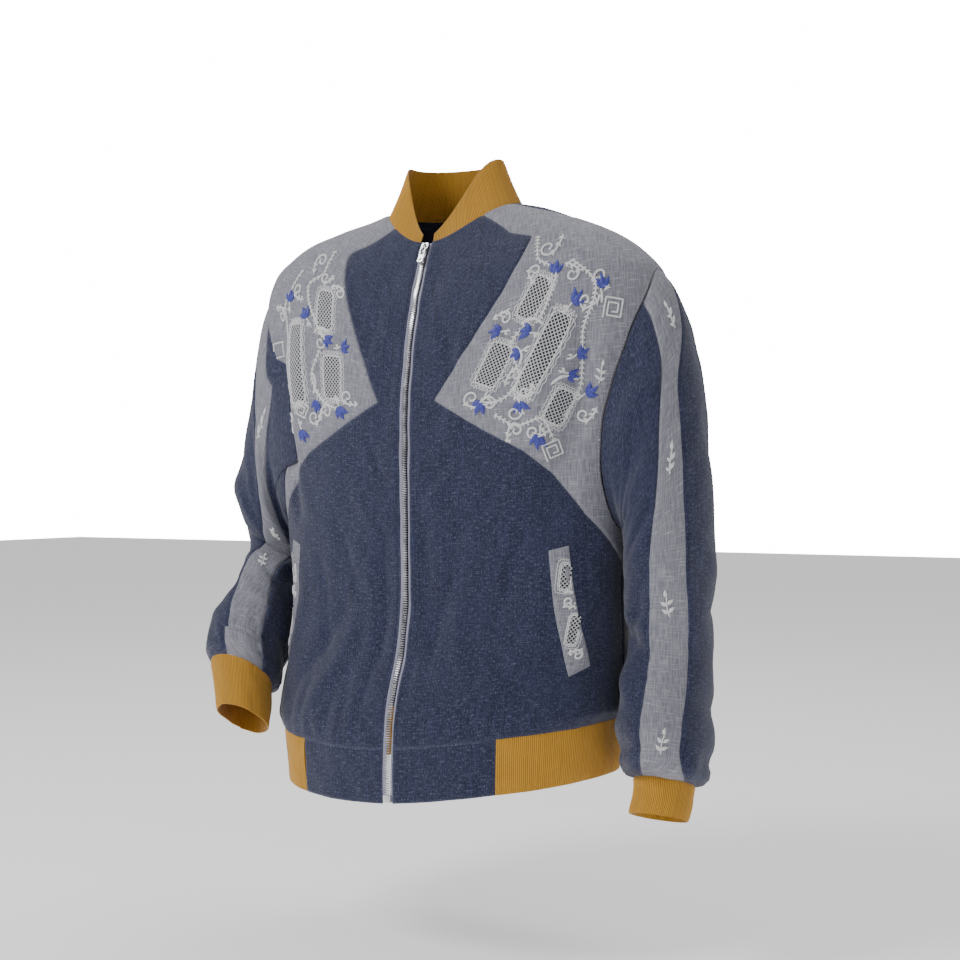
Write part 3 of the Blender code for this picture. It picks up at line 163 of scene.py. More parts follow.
class Finish:
    """A material, with its shader's uniform values set on the shader's own sockets."""

    def __init__(self, name, **uniform):
        self.material = bpy.data.materials.new(name)
        self.material.use_nodes = True
        self.tree = self.material.node_tree
        self.shader = self.tree.nodes["Principled BSDF"]
        for key, value in uniform.items():
            self.shader.inputs[key.replace("_", " ")].default_value = value

    def node(self, kind, settings, sockets, output=0):
        made = self.tree.nodes.new(kind)
        for key, value in settings.items():
            setattr(made, key, value)
        for key, value in sockets.items():
            if isinstance(value, Sum):
                self.tree.links.new(value.socket, made.inputs[key])
            else:
                made.inputs[key].default_value = value
        return Sum(self, made.outputs[output])

    def uv(self):
        """The piece's own flat sheet: metres across, metres down."""
        flat = self.node("ShaderNodeUVMap", {"uv_map": "cut"}, {})
        return [self.node("ShaderNodeSeparateXYZ", {}, {0: flat}, axis) for axis in (0, 1)]

    def noise(self, across, down, detail=3.0, along=0.0):
        place = self.node("ShaderNodeCombineXYZ", {}, {0: across, 1: down, 2: along})
        return self.node("ShaderNodeTexNoise", {}, {"Vector": place, "Scale": 1.0, "Detail": detail})

    def solid_noise(self, scale, detail=3.0):
        place = self.node("ShaderNodeTexCoord", {}, {}, "Object")
        return self.node("ShaderNodeTexNoise", {}, {"Vector": place, "Scale": scale, "Detail": detail})

    def attribute(self, name):
        return self.node("ShaderNodeAttribute", {"attribute_name": name}, {}, "Fac")

    def mix(self, share, first, second):
        colours = {0: share, 6: first, 7: second}
        return self.node("ShaderNodeMix", {"data_type": "RGBA"}, colours, 2)

    def colour(self, value):
        self.tree.links.new(value.socket, self.shader.inputs["Base Color"])

    def roughness(self, value):
        self.tree.links.new(value.socket, self.shader.inputs["Roughness"])

    def relief(self, height, depth, strength=1.0):
        sockets = {"Strength": strength, "Distance": depth, "Height": height}
        bump = self.node("ShaderNodeBump", {}, sockets)
        self.tree.links.new(bump.socket, self.shader.inputs["Normal"])


def rgb(red, green, blue):
    return (red, green, blue, 1)


pale_floor = Finish("pale_floor", Roughness=0.9, Emission_Color=(1, 1, 1, 1), Emission_Strength=FLOOR_GLOW)
speck = pale_floor.solid_noise(3.0)
pale_floor.colour(pale_floor.mix(speck, rgb(0.86, 0.86, 0.86), rgb(0.9, 0.9, 0.9)))
floor.data.materials.append(pale_floor.material)
print("floor finish", pale_floor.material.name)

# %% [markdown]
# ## Denim
# Denim is a twill: indigo threads run down it and pale ones cross them. Its threads are uneven,
# so fine streaks run down the cloth, and edges at seams rub paler. All of that follows the flat
# sheet, so the pattern bends with each piece as woven cloth does.

# %% Finish of the denim
TWILL_PITCH = 1.3 * MM
STREAK_WIDE, STREAK_LONG = 1.9 * MM, 45 * MM
FLECK_WIDE, FLECK_LONG = 1.1 * MM, 3.2 * MM
SEAM_RUB = 2.6 * MM


def make_denim(name, deep, middle, pale):
    finish = Finish(name, Sheen_Weight=0.22, Sheen_Roughness=0.5, Specular_IOR_Level=0.25)
    across, down = finish.uv()
    streaks = finish.noise(across * (1 / STREAK_WIDE), down * (1 / STREAK_LONG), 4.0)
    flecks = finish.noise(across * (1 / FLECK_WIDE), down * (1 / FLECK_LONG), 2.0, 7.0)
    crossing = finish.noise(across * (1 / (9 * MM)), down * (1 / (1.1 * MM)), 2.0, 13.0)
    fading = finish.noise(across * 14, down * 11, 3.0, 3.0)
    twill = (across + down).wave(TWILL_PITCH)
    shade = finish.mix(streaks.rise(0.3, 0.72), deep, middle)
    shade = finish.mix(flecks.rise(0.48, 0.78) * 0.55 + crossing.rise(0.5, 0.75) * 0.35, shade, pale)
    shade = finish.mix(fading.rise(0.45, 0.8) * 0.35, shade, middle)
    rub = 1 - finish.attribute("from_seam").rise(0.0, SEAM_RUB)
    shade = finish.mix(rub * 0.45 * flecks, shade, pale)
    finish.colour(shade)
    finish.roughness(streaks * 0.15 + 0.75)
    finish.relief(twill * 0.5 + streaks * 0.9 + crossing * 0.5, 0.35 * MM, 0.8)
    return finish.material


DENIM = make_denim("denim", rgb(0.010, 0.013, 0.037), rgb(0.026, 0.0315, 0.078), rgb(0.160, 0.175, 0.285))
print("made", DENIM.name)

# %% [markdown]
# ## Grey slubbed cloth
# The chest, shoulder and stripe pieces are a plain weave of light grey thread, with thicker
# slubs both ways that catch the light and faint darker threads between them.

# %% Finish of the grey cloth
SLUB_WIDE, SLUB_LONG = 1.3 * MM, 16 * MM


def make_grey(name, shadow, plain, bright):
    finish = Finish(name, Sheen_Weight=0.15, Sheen_Roughness=0.4, Specular_IOR_Level=0.3)
    across, down = finish.uv()
    warp = finish.noise(across * (1 / SLUB_WIDE), down * (1 / SLUB_LONG), 3.0)
    weft = finish.noise(across * (1 / SLUB_LONG), down * (1 / SLUB_WIDE), 3.0, 5.0)
    cloud = finish.noise(across * 30, down * 30, 2.0, 9.0)
    shade = finish.mix(warp.rise(0.35, 0.65), shadow, plain)
    shade = finish.mix(weft.rise(0.5, 0.75) * 0.6, shade, bright)
    shade = finish.mix(cloud.rise(0.5, 0.8) * 0.25, shade, shadow)
    finish.colour(shade)
    finish.roughness(warp * 0.2 + 0.6)
    finish.relief(warp + weft, 0.45 * MM, 0.8)
    return finish.material


GREY = make_grey("grey_cloth", rgb(0.185, 0.185, 0.225), rgb(0.30, 0.30, 0.345), rgb(0.52, 0.52, 0.56))
print("made", GREY.name)

# %% [markdown]
# ## Rib knit
# The ribs themselves are shaped in the mesh below. The finish adds the small stacked loops on each rib,
# painted shade down in the valleys, a painted highlight on the loops along the crests, and a soft fuzz.

# %% Finish of the rib
LOOP_TALL = 1.5 * MM


def make_rib_finish(name, deep, plain, bright):
    finish = Finish(name, Sheen_Weight=0.35, Sheen_Roughness=0.45, Specular_IOR_Level=0.2)
    across, down = finish.uv()
    loops = down.wave(LOOP_TALL)
    fuzz = finish.noise(across * 900, down * 900, 2.0)
    cloud = finish.noise(across * 18, down * 18, 2.0, 4.0)
    crest = finish.attribute("crest")
    # Painted shade: the valley column of each rib takes the deep colour, the raised columns the plain one.
    shade = finish.mix(crest.rise(0.05, 0.75), deep, plain)
    # Painted highlight: the stacked loops on the crests lighten towards the bright colour, with random paler
    # clouds as well.
    shade = finish.mix(loops * crest * 0.3 + cloud.rise(0.5, 0.8) * 0.25, shade, bright)
    finish.colour(shade)
    finish.roughness(fuzz * 0.15 + 0.78)
    finish.relief(loops * 0.6 + fuzz * 0.5, 0.3 * MM, 0.6)
    return finish.material


# The first colour is the painted shade of the valleys, the last the painted highlight on the crests and the
# colour of the paler clouds.
RIB = make_rib_finish("rib", rgb(0.25, 0.115, 0.010), rgb(0.62, 0.305, 0.032), rgb(0.80, 0.46, 0.075))
print("made", RIB.name)

# %% [markdown]
# ## Thread, tape, metal and openwork
# Smaller finishes: sewing thread has a twist along it, embroidery thread is smooth and silky, zip
# tape is a fine herringbone, and the zip's metal is satin with small scratches. The openwork is
# a net of pale thread over dark holes, each under 4 mm wide.

# %% Finishes of the trims
TAPE_PITCH, OPENWORK_PITCH = 1.2 * MM, 3.3 * MM
TWIST_PER_METRE = 1300


def make_thread(name, dark, light, sheen):
    finish = Finish(name, Sheen_Weight=sheen, Sheen_Roughness=0.3, Specular_IOR_Level=0.45)
    twist = finish.solid_noise(TWIST_PER_METRE, 1.0)
    finish.colour(finish.mix(twist.rise(0.35, 0.65), dark, light))
    finish.roughness(twist * 0.2 + 0.4)
    finish.relief(twist, 0.2 * MM, 0.5)
    return finish.material


def make_tape_finish(name, dark, light):
    finish = Finish(name, Sheen_Weight=0.15, Specular_IOR_Level=0.3)
    across, down = finish.uv()
    zigzag = (across * (1 / (4 * MM))).math("PINGPONG", 1.0) * (2 * MM)
    weave = (down + zigzag).wave(TAPE_PITCH)
    fuzz = finish.noise(across * 700, down * 700, 2.0)
    finish.colour(finish.mix(weave * 0.7 + fuzz * 0.3, dark, light))
    finish.roughness(fuzz * 0.2 + 0.65)
    finish.relief(weave, 0.2 * MM, 0.7)
    return finish.material


def make_metal(name, dark, light):
    finish = Finish(name, Metallic=1.0)
    grain = finish.solid_noise(420, 4.0)
    cloud = finish.solid_noise(60, 2.0)
    finish.colour(finish.mix(cloud.rise(0.35, 0.7), dark, light))
    finish.roughness(grain * 0.22 + cloud * 0.1 + 0.16)
    finish.relief(grain, 0.05 * MM, 0.4)
    return finish.material


def make_openwork(name, hole, thread, bright):
    finish = Finish(name, Sheen_Weight=0.2, Specular_IOR_Level=0.35)
    across, down = finish.uv()
    cells = [(way * (1 / OPENWORK_PITCH)).math("PINGPONG", 0.5) for way in (across, down)]
    net = 1 - cells[0].math("MINIMUM", cells[1]).rise(0.10, 0.20)
    twist = finish.noise(across * 1500, down * 1500, 1.0)
    pale = finish.mix(twist, thread, bright)
    finish.colour(finish.mix(net, hole, pale))
    finish.roughness(twist * 0.2 + 0.55)
    finish.relief(net + twist * 0.15, 0.7 * MM, 0.9)
    return finish.material


NAVY_THREAD = make_thread("navy_thread", rgb(0.030, 0.038, 0.075), rgb(0.075, 0.09, 0.15), 0.1)
GREY_THREAD = make_thread("grey_thread", rgb(0.42, 0.42, 0.46), rgb(0.66, 0.66, 0.70), 0.1)
WHITE_THREAD = make_thread("white_thread", rgb(0.62, 0.62, 0.64), rgb(0.88, 0.88, 0.88), 0.25)
BLUE_THREAD = make_thread("blue_thread", rgb(0.030, 0.034, 0.24), rgb(0.085, 0.095, 0.46), 0.25)
TAPE = make_tape_finish("zip_tape", rgb(0.27, 0.27, 0.37), rgb(0.46, 0.46, 0.58))
METAL = make_metal("metal", rgb(0.52, 0.52, 0.54), rgb(0.84, 0.84, 0.86))
OPENWORK = make_openwork("openwork", rgb(0.012, 0.013, 0.020), rgb(0.44, 0.44, 0.48), rgb(0.78, 0.78, 0.80))
print("trim finishes", NAVY_THREAD.name, GREY_THREAD.name, TAPE.name, METAL.name, OPENWORK.name)

# %% [markdown]
# ## The curves that the jacket is cut on
# The trunk, the sleeves and the collar are smooth sheets through a few rings, each a row of a
# short table in millimetres. Every point of cloth is an angle round a ring and a way down it.

# %% Sizes and rings
SEAM_STEP, NECK_STEP, TRIM_STEP = 6 * MM, 4 * MM, 4 * MM
ZIP_PARTS, BAND_PARTS = 108, 12
NORMAL_REACH = 4 * MM
REST_GAP = 0.3 * MM
ZIP_OPENING, CHAIN_HALF = 6.3 * MM, 2.5 * MM
TAPE_EDGE, TAPE_BEHIND, ZIP_TOP_DOWN = 14 * MM, 2.1 * MM, 2 * MM
BOX_TALL, BOX_END = 8 * MM, 1.5 * MM

# Body of the jacket, from the neck seam (first row) to the hem's lower edge (last row), in
# millimetres. Each row is one ring of cloth: its height, half width and depth position at the
# side, then the depth position and height of its front and of its back. square is the exponent
# of the ring's outline. lean lifts the wearer's left side and lowers the right by as much.
BodyRow = namedtuple("BodyRow", "side_z half_width side_y front_y front_z back_y back_z square lean")
BODY_ROWS = [
    BodyRow(4, 78, 12, -52, -40, 74, 5, 2.0, 0),
    BodyRow(-2, 106, 20, -62, -62, 86, -18, 2.0, -1),
    BodyRow(-13, 146, 26, -70, -84, 96, -44, 2.05, -4),
    BodyRow(-28, 186, 28, -77, -103, 106, -68, 2.1, -6),
    BodyRow(-46, 216, 28, -82, -120, 113, -90, 2.2, -8),
    BodyRow(-68, 237, 28, -86, -136, 119, -112, 2.3, -9),
    BodyRow(-98, 246, 26, -90, -154, 125, -136, 2.35, -9),
    BodyRow(-140, 244, 23, -94, -180, 130, -168, 2.4, -8),
    BodyRow(-185, 235, 19, -98, -212, 134, -206, 2.4, -6),
    BodyRow(-240, 221, 14, -100, -258, 135, -256, 2.4, -3),
    BodyRow(-300, 210, 9, -100, -312, 131, -310, 2.4, 0),
    BodyRow(-360, 204, 8, -98, -368, 125, -366, 2.35, 2),
    BodyRow(-420, 201, 9, -97, -424, 120, -422, 2.3, 5),
    BodyRow(-475, 202, 9, -107, -478, 118, -474, 2.3, 8),
    BodyRow(-520, 205, 8, -124, -522, 119, -515, 2.35, 11),
    BodyRow(-546, 206, 8, -132, -556, 119, -537, 2.4, 12),
    BodyRow(-560, 197, 8, -133, -575, 115, -550, 2.4, 13),
    BodyRow(-590, 194, 8, -133, -604, 112, -579, 2.35, 13),
    BodyRow(-617, 191, 8, -132, -632, 110, -606, 2.35, 13),
]
HEM_ROW = 16

# Armhole: an egg seen from the side, whose top leans back
ARM_Y, ARM_Z = 18 * MM, -212 * MM
ARM_BACK_DEPTH, ARM_HALF_HEIGHT = 61 * MM, 136 * MM
ARM_FRONT_DEPTH = {1: 61 * MM, -1: 82 * MM}
ARM_LEAN = 10 * MM
STRIPE_FIRST, STRIPE_LAST = -10, 44
UNDERARM = 180
ARM_STRIPE_PARTS, ARM_FRONT_PARTS, ARM_BACK_PARTS = 12, 70, 80

# Sleeves, from the armhole to the end of the cuff, in millimetres. Each row is one ring: its
# middle, the arrow from there to its outer point, its half depth, how far its front is raised
# and how far the stripe has turned from the outer point to the front. x grows outwards.
SleeveRow = namedtuple("SleeveRow", "x y z out_x out_y out_z half_depth pitch turn")
LEFT_SLEEVE = [
    SleeveRow(223, 18, -212, 19, 10, 136, 61, 0, 17),
    SleeveRow(233, 17, -223, 23, 8, 128, 63, 0, 21),
    SleeveRow(241, 15, -245, 30, 5, 112, 65, 0, 31),
    SleeveRow(247, 13, -274, 37, 2, 88, 65, 0, 49),
    SleeveRow(251, 12, -308, 41, 0, 60, 64, 0, 54),
    SleeveRow(253, 12, -345, 43, 0, 33, 63, 2, 58),
    SleeveRow(254, 13, -385, 44, 0, 11, 63, 3, 61),
    SleeveRow(253, 16, -432, 44, 0, 2, 59, 5, 62),
    SleeveRow(253, 15, -475, 43, 0, 0, 54, 8, 63),
    SleeveRow(255, 3, -522, 46, 0, 0, 61, 11, 63),
    SleeveRow(257, -7, -558, 47, 0, 0, 65, 14, 65),
    SleeveRow(259, -12, -585, 46, 0, 0, 61, 16, 68),
    SleeveRow(260, -15, -600, 40, 0, 0, 49, 17, 68),
    SleeveRow(260, -17, -604, 31, 0, 0, 35, 18, 68),
    SleeveRow(260, -22, -620, 30, 0, 0, 32, 18, 68),
    SleeveRow(258, -28, -638, 30, 0, 0, 32, 18, 68),
]
RIGHT_SLEEVE = [
    SleeveRow(223, 18, -212, 19, 10, 136, 61, 0, 17),
    SleeveRow(230, 19, -223, 22, 8, 128, 62, 0, 38),
    SleeveRow(235, 21, -246, 28, 5, 112, 60, 0, 70),
    SleeveRow(241, 24, -275, 34, 2, 89, 59, 0, 100),
    SleeveRow(249, 28, -308, 39, 0, 63, 60, 0, 119),
    SleeveRow(256, 34, -341, 44, 0, 37, 60, 0, 128),
    SleeveRow(254, 41, -373, 42, 0, 15, 58, 8, 128),
    SleeveRow(249, 34, -401, 39, 0, 4, 56, 28, 116),
    SleeveRow(246, 8, -428, 38, 0, 0, 56, 42, 105),
    SleeveRow(242, -24, -460, 41, 0, 0, 57, 45, 112),
    SleeveRow(239, -54, -489, 44, 0, 0, 57, 44, 124),
    SleeveRow(233, -70, -509, 44, 0, 0, 54, 42, 130),
    SleeveRow(230, -77, -518, 37, 0, 0, 41, 40, 131),
    SleeveRow(217, -93, -540, 33, 0, 0, 36, 38, 131),
    SleeveRow(204, -109, -562, 30, 0, 0, 33, 37, 131),
]
LEFT_CUFF_ROW, RIGHT_CUFF_ROW = 13, 12
SLEEVE_BLEND = 110 * MM
STRIPE_HALF_TOP, STRIPE_HALF_LOW = 17 * MM, 23.5 * MM
UNDERARM_DRIFT = {1: 18, -1: 38}
STRIPE_SETTLE = 90 * MM

# Collar
COLLAR_TALL = 50 * MM
COLLAR_END_TALL = 3 * MM
COLLAR_LEAN = 0.42
COLLAR_FULL_ANGLE = 75
COLLAR_END = 7.5 * MM
# Seams seen from the front, as across (x) and height (z) in millimetres
SeamPoint = namedtuple("SeamPoint", "x z")
INSERT_EDGE = {
    1: [SeamPoint(96, -36), SeamPoint(121, -41)],
    -1: [SeamPoint(81, -39), SeamPoint(98, -47)],
}
INSERT_TIP = SeamPoint(35, -214)
INSERT_LOWER = [SeamPoint(62, -229), SeamPoint(133, -267), SeamPoint(158, -290), SeamPoint(186, -332)]
INSERT_NECK_ANGLE = {1: 53, -1: 44}
SHOULDER_NECK_ANGLE = 80
INSERT_SIDE_Z = -388
BACK_SHOULDER_X = 118
BACK_SHOULDER_ANGLE = 86
BACK_TIP = SeamPoint(38, -214)
BACK_LOWER = [SeamPoint(66, -230), SeamPoint(135, -268), SeamPoint(160, -291), SeamPoint(190, -340)]
BAND_END_X = 118 * MM
WELT = [SeamPoint(155, -369), SeamPoint(172, -364), SeamPoint(190, -487), SeamPoint(176, -497)]
BLOCK_TALL = 27 * MM
BLOCK_STEP = 8

# Largest folds. A ridge stands out by depth (mm) and a trough goes in; half_width (mm) is its
# reach to each side. Its two ends are an angle round the ring from the front, or from the middle
# of the sleeve's stripe, and the height of the ring's side or middle (mm).
Fold = namedtuple("Fold", "depth half_width angle_a z_a angle_b z_b")
BODY_FOLDS = [
    Fold(-8, 11, 66, -120, 64, -330),
    Fold(5, 12, 55, -105, 57, -240),
    Fold(-8, 11, -66, -120, -64, -330),
    Fold(5, 12, -55, -105, -57, -240),
    Fold(-5, 13, -38, -430, -58, -520),
    Fold(4, 14, -30, -455, -44, -535),
    Fold(-4, 15, 34, -350, 20, -470),
    Fold(-4, 13, 62, -500, 40, -540),
    Fold(3, 14, 50, -440, 70, -480),
    Fold(-4, 14, 12, -330, 16, -470),
    Fold(-3, 12, -14, -350, -12, -480),
    Fold(-7, 12, 114, -110, 118, -320),
    Fold(-7, 12, -114, -110, -118, -320),
    Fold(-6, 18, 168, -470, 150, -535),
    Fold(5, 16, -165, -440, -150, -530),
    Fold(-5, 15, 128, -430, 138, -520),
    Fold(-5, 15, -126, -400, -140, -500),
]
LEFT_SLEEVE_FOLDS = [
    Fold(6, 12, 26, -254, 76, -226),
    Fold(-6, 12, 32, -280, 84, -242),
    Fold(-4, 11, 30, -395, 70, -470),
    Fold(-6, 12, 92, -455, 36, -480),
    Fold(5, 12, 84, -500, 44, -530),
    Fold(-5, 9, 30, -578, 100, -580),
    Fold(-4, 12, -60, -300, -120, -340),
    Fold(-6, 12, -70, -440, -150, -400),
    Fold(-4, 12, -50, -520, -130, -540),
    Fold(-5, 9, -60, -580, -150, -578),
]
RIGHT_SLEEVE_FOLDS = [
    Fold(-10, 17, 22, -262, 34, -345),
    Fold(5, 12, 2, -262, -6, -310),
    Fold(-8, 16, -78, -380, 20, -398),
    Fold(7, 13, 42, -352, 96, -372),
    Fold(6, 15, -60, -332, -120, -340),
    Fold(-6, 12, 50, -425, 100, -400),
    Fold(-5, 12, -50, -450, -120, -440),
    Fold(-5, 11, 50, -478, 110, -486),
    Fold(4, 11, -60, -480, -140, -470),
]

# %% [markdown]
# ## Finer creases
# Cloth that is worn also has small creases between its large folds, and gathers where a full piece is sewn to
# a tighter band. The creases are listed one by one, each with its own depth and reach. The gathers stand
# unevenly round each band, from a fixed seed.

# %% Small creases and gathers
BODY_CREASES = [
    Fold(-3.5, 7, 67.5, -130, 69, -320),
    Fold(2.5, 7, 62.5, -125, 64, -310),
    Fold(-2.5, 7, -65, -130, -66, -310),
    Fold(2, 7, -60, -125, -61, -300),
    Fold(-2, 8, 74, -330, 72, -400),
    Fold(-2.6, 7, 28, -262, 12, -300),
    Fold(2.0, 8, 24, -285, 10, -330),
    Fold(-2.4, 7, 48, -300, 30, -352),
    Fold(1.8, 8, 40, -330, 28, -392),
    Fold(-2.8, 8, 56, -352, 48, -452),
    Fold(2.2, 9, 64, -380, 58, -470),
    Fold(-2.2, 7, 22, -420, 16, -500),
    Fold(2.4, 9, 30, -440, 34, -522),
    Fold(-2.6, 7, 44, -470, 52, -530),
    Fold(-2.2, 7, 9, -470, 6, -535),
    Fold(2.0, 7, 72, -420, 76, -500),
    Fold(-2.4, 8, 80, -440, 74, -520),
    Fold(-2.0, 7, 18, -60, 26, -150),
    Fold(1.8, 8, 30, -90, 26, -190),
    Fold(-1.6, 6, 44, -60, 48, -180),
    Fold(1.4, 7, 70, -150, 74, -240),
    Fold(-2.4, 7, -20, -255, -9, -300),
    Fold(2.0, 8, -32, -300, -18, -345),
    Fold(-2.6, 8, -44, -330, -30, -410),
    Fold(2.2, 8, -24, -380, -20, -470),
    Fold(-2.4, 8, -52, -380, -46, -470),
    Fold(2.0, 9, -62, -400, -66, -490),
    Fold(-2.2, 7, -12, -440, -16, -520),
    Fold(-2.4, 8, -74, -430, -70, -520),
    Fold(-1.8, 7, -20, -60, -26, -150),
    Fold(1.4, 7, -68, -150, -74, -240),
    Fold(-2.6, 8, 150, -300, 168, -350),
    Fold(2.2, 9, -150, -320, -170, -372),
    Fold(-2.6, 8, 176, -250, 162, -292),
    Fold(-2.4, 8, -140, -400, -158, -470),
    Fold(2.4, 9, 140, -380, 150, -470),
    Fold(-2.4, 8, 104, -400, 112, -500),
    Fold(2.2, 9, -108, -410, -116, -505),
    Fold(-2.0, 8, 150, -90, 160, -200),
    Fold(-2.0, 8, -152, -100, -164, -210),
]
SLEEVE_CREASES = {
    1: [
        Fold(-2.8, 7, 20, -330, 62, -356),
        Fold(2.2, 8, 24, -352, 66, -384),
        Fold(-2.4, 7, 60, -300, 100, -272),
        Fold(-2.6, 7, 26, -425, 60, -447),
        Fold(2.2, 7, 34, -452, 84, -438),
        Fold(-2.6, 7, 12, -497, 46, -512),
        Fold(2.4, 8, 60, -545, 100, -560),
        Fold(-2.4, 7, -12, -540, 30, -556),
        Fold(-2.2, 8, -40, -250, -86, -290),
        Fold(2.2, 8, -30, -370, -90, -400),
        Fold(-2.6, 8, -20, -465, -80, -480),
        Fold(-2.2, 7, 120, -330, 160, -350),
        Fold(2.2, 8, 130, -420, 170, -400),
    ],
    -1: [
        Fold(-3.0, 7, 34, -300, 60, -345),
        Fold(2.6, 8, 12, -350, 44, -372),
        Fold(-3.0, 7, 46, -392, 84, -372),
        Fold(2.4, 8, 30, -418, 76, -404),
        Fold(-2.8, 7, 10, -432, 54, -448),
        Fold(2.4, 8, -20, -455, 40, -470),
        Fold(-2.8, 7, -30, -488, 30, -492),
        Fold(-2.4, 8, -20, -290, -60, -320),
        Fold(2.2, 8, -40, -410, -90, -425),
        Fold(-2.4, 7, 120, -330, 160, -345),
        Fold(-2.2, 7, 120, -430, 165, -445),
    ],
}
Gather = namedtuple("Gather", "seed step_low step_high deepest longest")
HEM_GATHER = Gather(11, 5.0, 11.0, 2.2, 62)
CUFF_GATHER = {1: Gather(23, 14, 30, 2.2, 46), -1: Gather(37, 14, 30, 2.4, 44)}
GATHER_REACH = 6


def gathers(settings, edge_z):
    """Troughs that start at a band's seam and run up from it, unevenly spaced all round."""
    draw = np.random.default_rng(settings.seed)
    made, angle = [], -180.0
    while angle < 180:
        angle += draw.uniform(settings.step_low, settings.step_high)
        depth = -settings.deepest * draw.uniform(0.35, 1.0)
        length = settings.longest * draw.uniform(0.35, 1.0)
        lean = draw.uniform(-0.35, 0.35) * settings.step_high
        reach = GATHER_REACH * draw.uniform(0.75, 1.25)
        made.append(Fold(depth, reach, angle, edge_z, angle + lean, edge_z + length))
    return made


BODY_FOLDS = BODY_FOLDS + BODY_CREASES + gathers(HEM_GATHER, BODY_ROWS[HEM_ROW].side_z + 2)
LEFT_SLEEVE_FOLDS += SLEEVE_CREASES[1] + gathers(CUFF_GATHER[1], LEFT_SLEEVE[LEFT_CUFF_ROW].z + 2)
RIGHT_SLEEVE_FOLDS += SLEEVE_CREASES[-1] + gathers(CUFF_GATHER[-1], RIGHT_SLEEVE[RIGHT_CUFF_ROW].z + 2)
print("folds", len(BODY_FOLDS), len(LEFT_SLEEVE_FOLDS), len(RIGHT_SLEEVE_FOLDS))

# %% [markdown]
# ## Sheets of cloth as functions
# Each sheet turns an angle and a way down into a point in space, with its folds added along the
# normal. Measuring along its rings also flattens it, which is how a cutter sees it, so weave,
# stitches and needlework keep their true size.


# %% A smooth sheet
def smooth_step(share):
    share = np.clip(share, 0, 1)
    return share * share * (3 - 2 * share)


def matched(u, v):
    """Both as arrays of numbers of the same length."""
    return np.broadcast_arrays(np.atleast_1d(np.asarray(u, float)), np.atleast_1d(np.asarray(v, float)))


class Curves:
    """Smooth curves through a table's columns that never overshoot between two rows."""

    def __init__(self, places, rows):
        self.places = np.array(places, float)
        self.rows = np.array(rows, float)
        step = np.diff(self.places)[:, None]
        rise = np.diff(self.rows, axis=0) / step
        slopes = np.zeros_like(self.rows)
        before, after = rise[:-1], rise[1:]
        turning = before * after <= 0
        safe = np.where(turning, 1, before + after)
        slopes[1:-1] = np.where(turning, 0, 2 * before * after / safe)
        slopes[0], slopes[-1] = rise[0], rise[-1]
        self.slopes = slopes

    def at(self, place):
        place = np.atleast_1d(np.asarray(place, float))
        low = np.clip(np.searchsorted(self.places, place, side="right") - 1, 0, len(self.places) - 2)
        width = (self.places[low + 1] - self.places[low])[:, None]
        share = (place[:, None] - self.places[low][:, None]) / width
        share = np.clip(share, -0.5, 1.5)
        start, end = self.rows[low], self.rows[low + 1]
        pull_a, pull_b = self.slopes[low] * width, self.slopes[low + 1] * width
        return (
            start * (1 + 2 * share) * (1 - share) ** 2
            + pull_a * share * (1 - share) ** 2
            + end * share**2 * (3 - 2 * share)
            + pull_b * share**2 * (share - 1)
        )


Ripple = namedtuple("Ripple", "height across down start")
RIPPLES = [
    Ripple(0.40, 62, 31, 0.3),
    Ripple(0.34, -47, 78, 1.9),
    Ripple(0.26, 118, 23, 4.0),
    Ripple(0.24, -96, 141, 2.2),
    Ripple(0.16, 171, -112, 5.1),
]
RIPPLE_START = 30 * MM


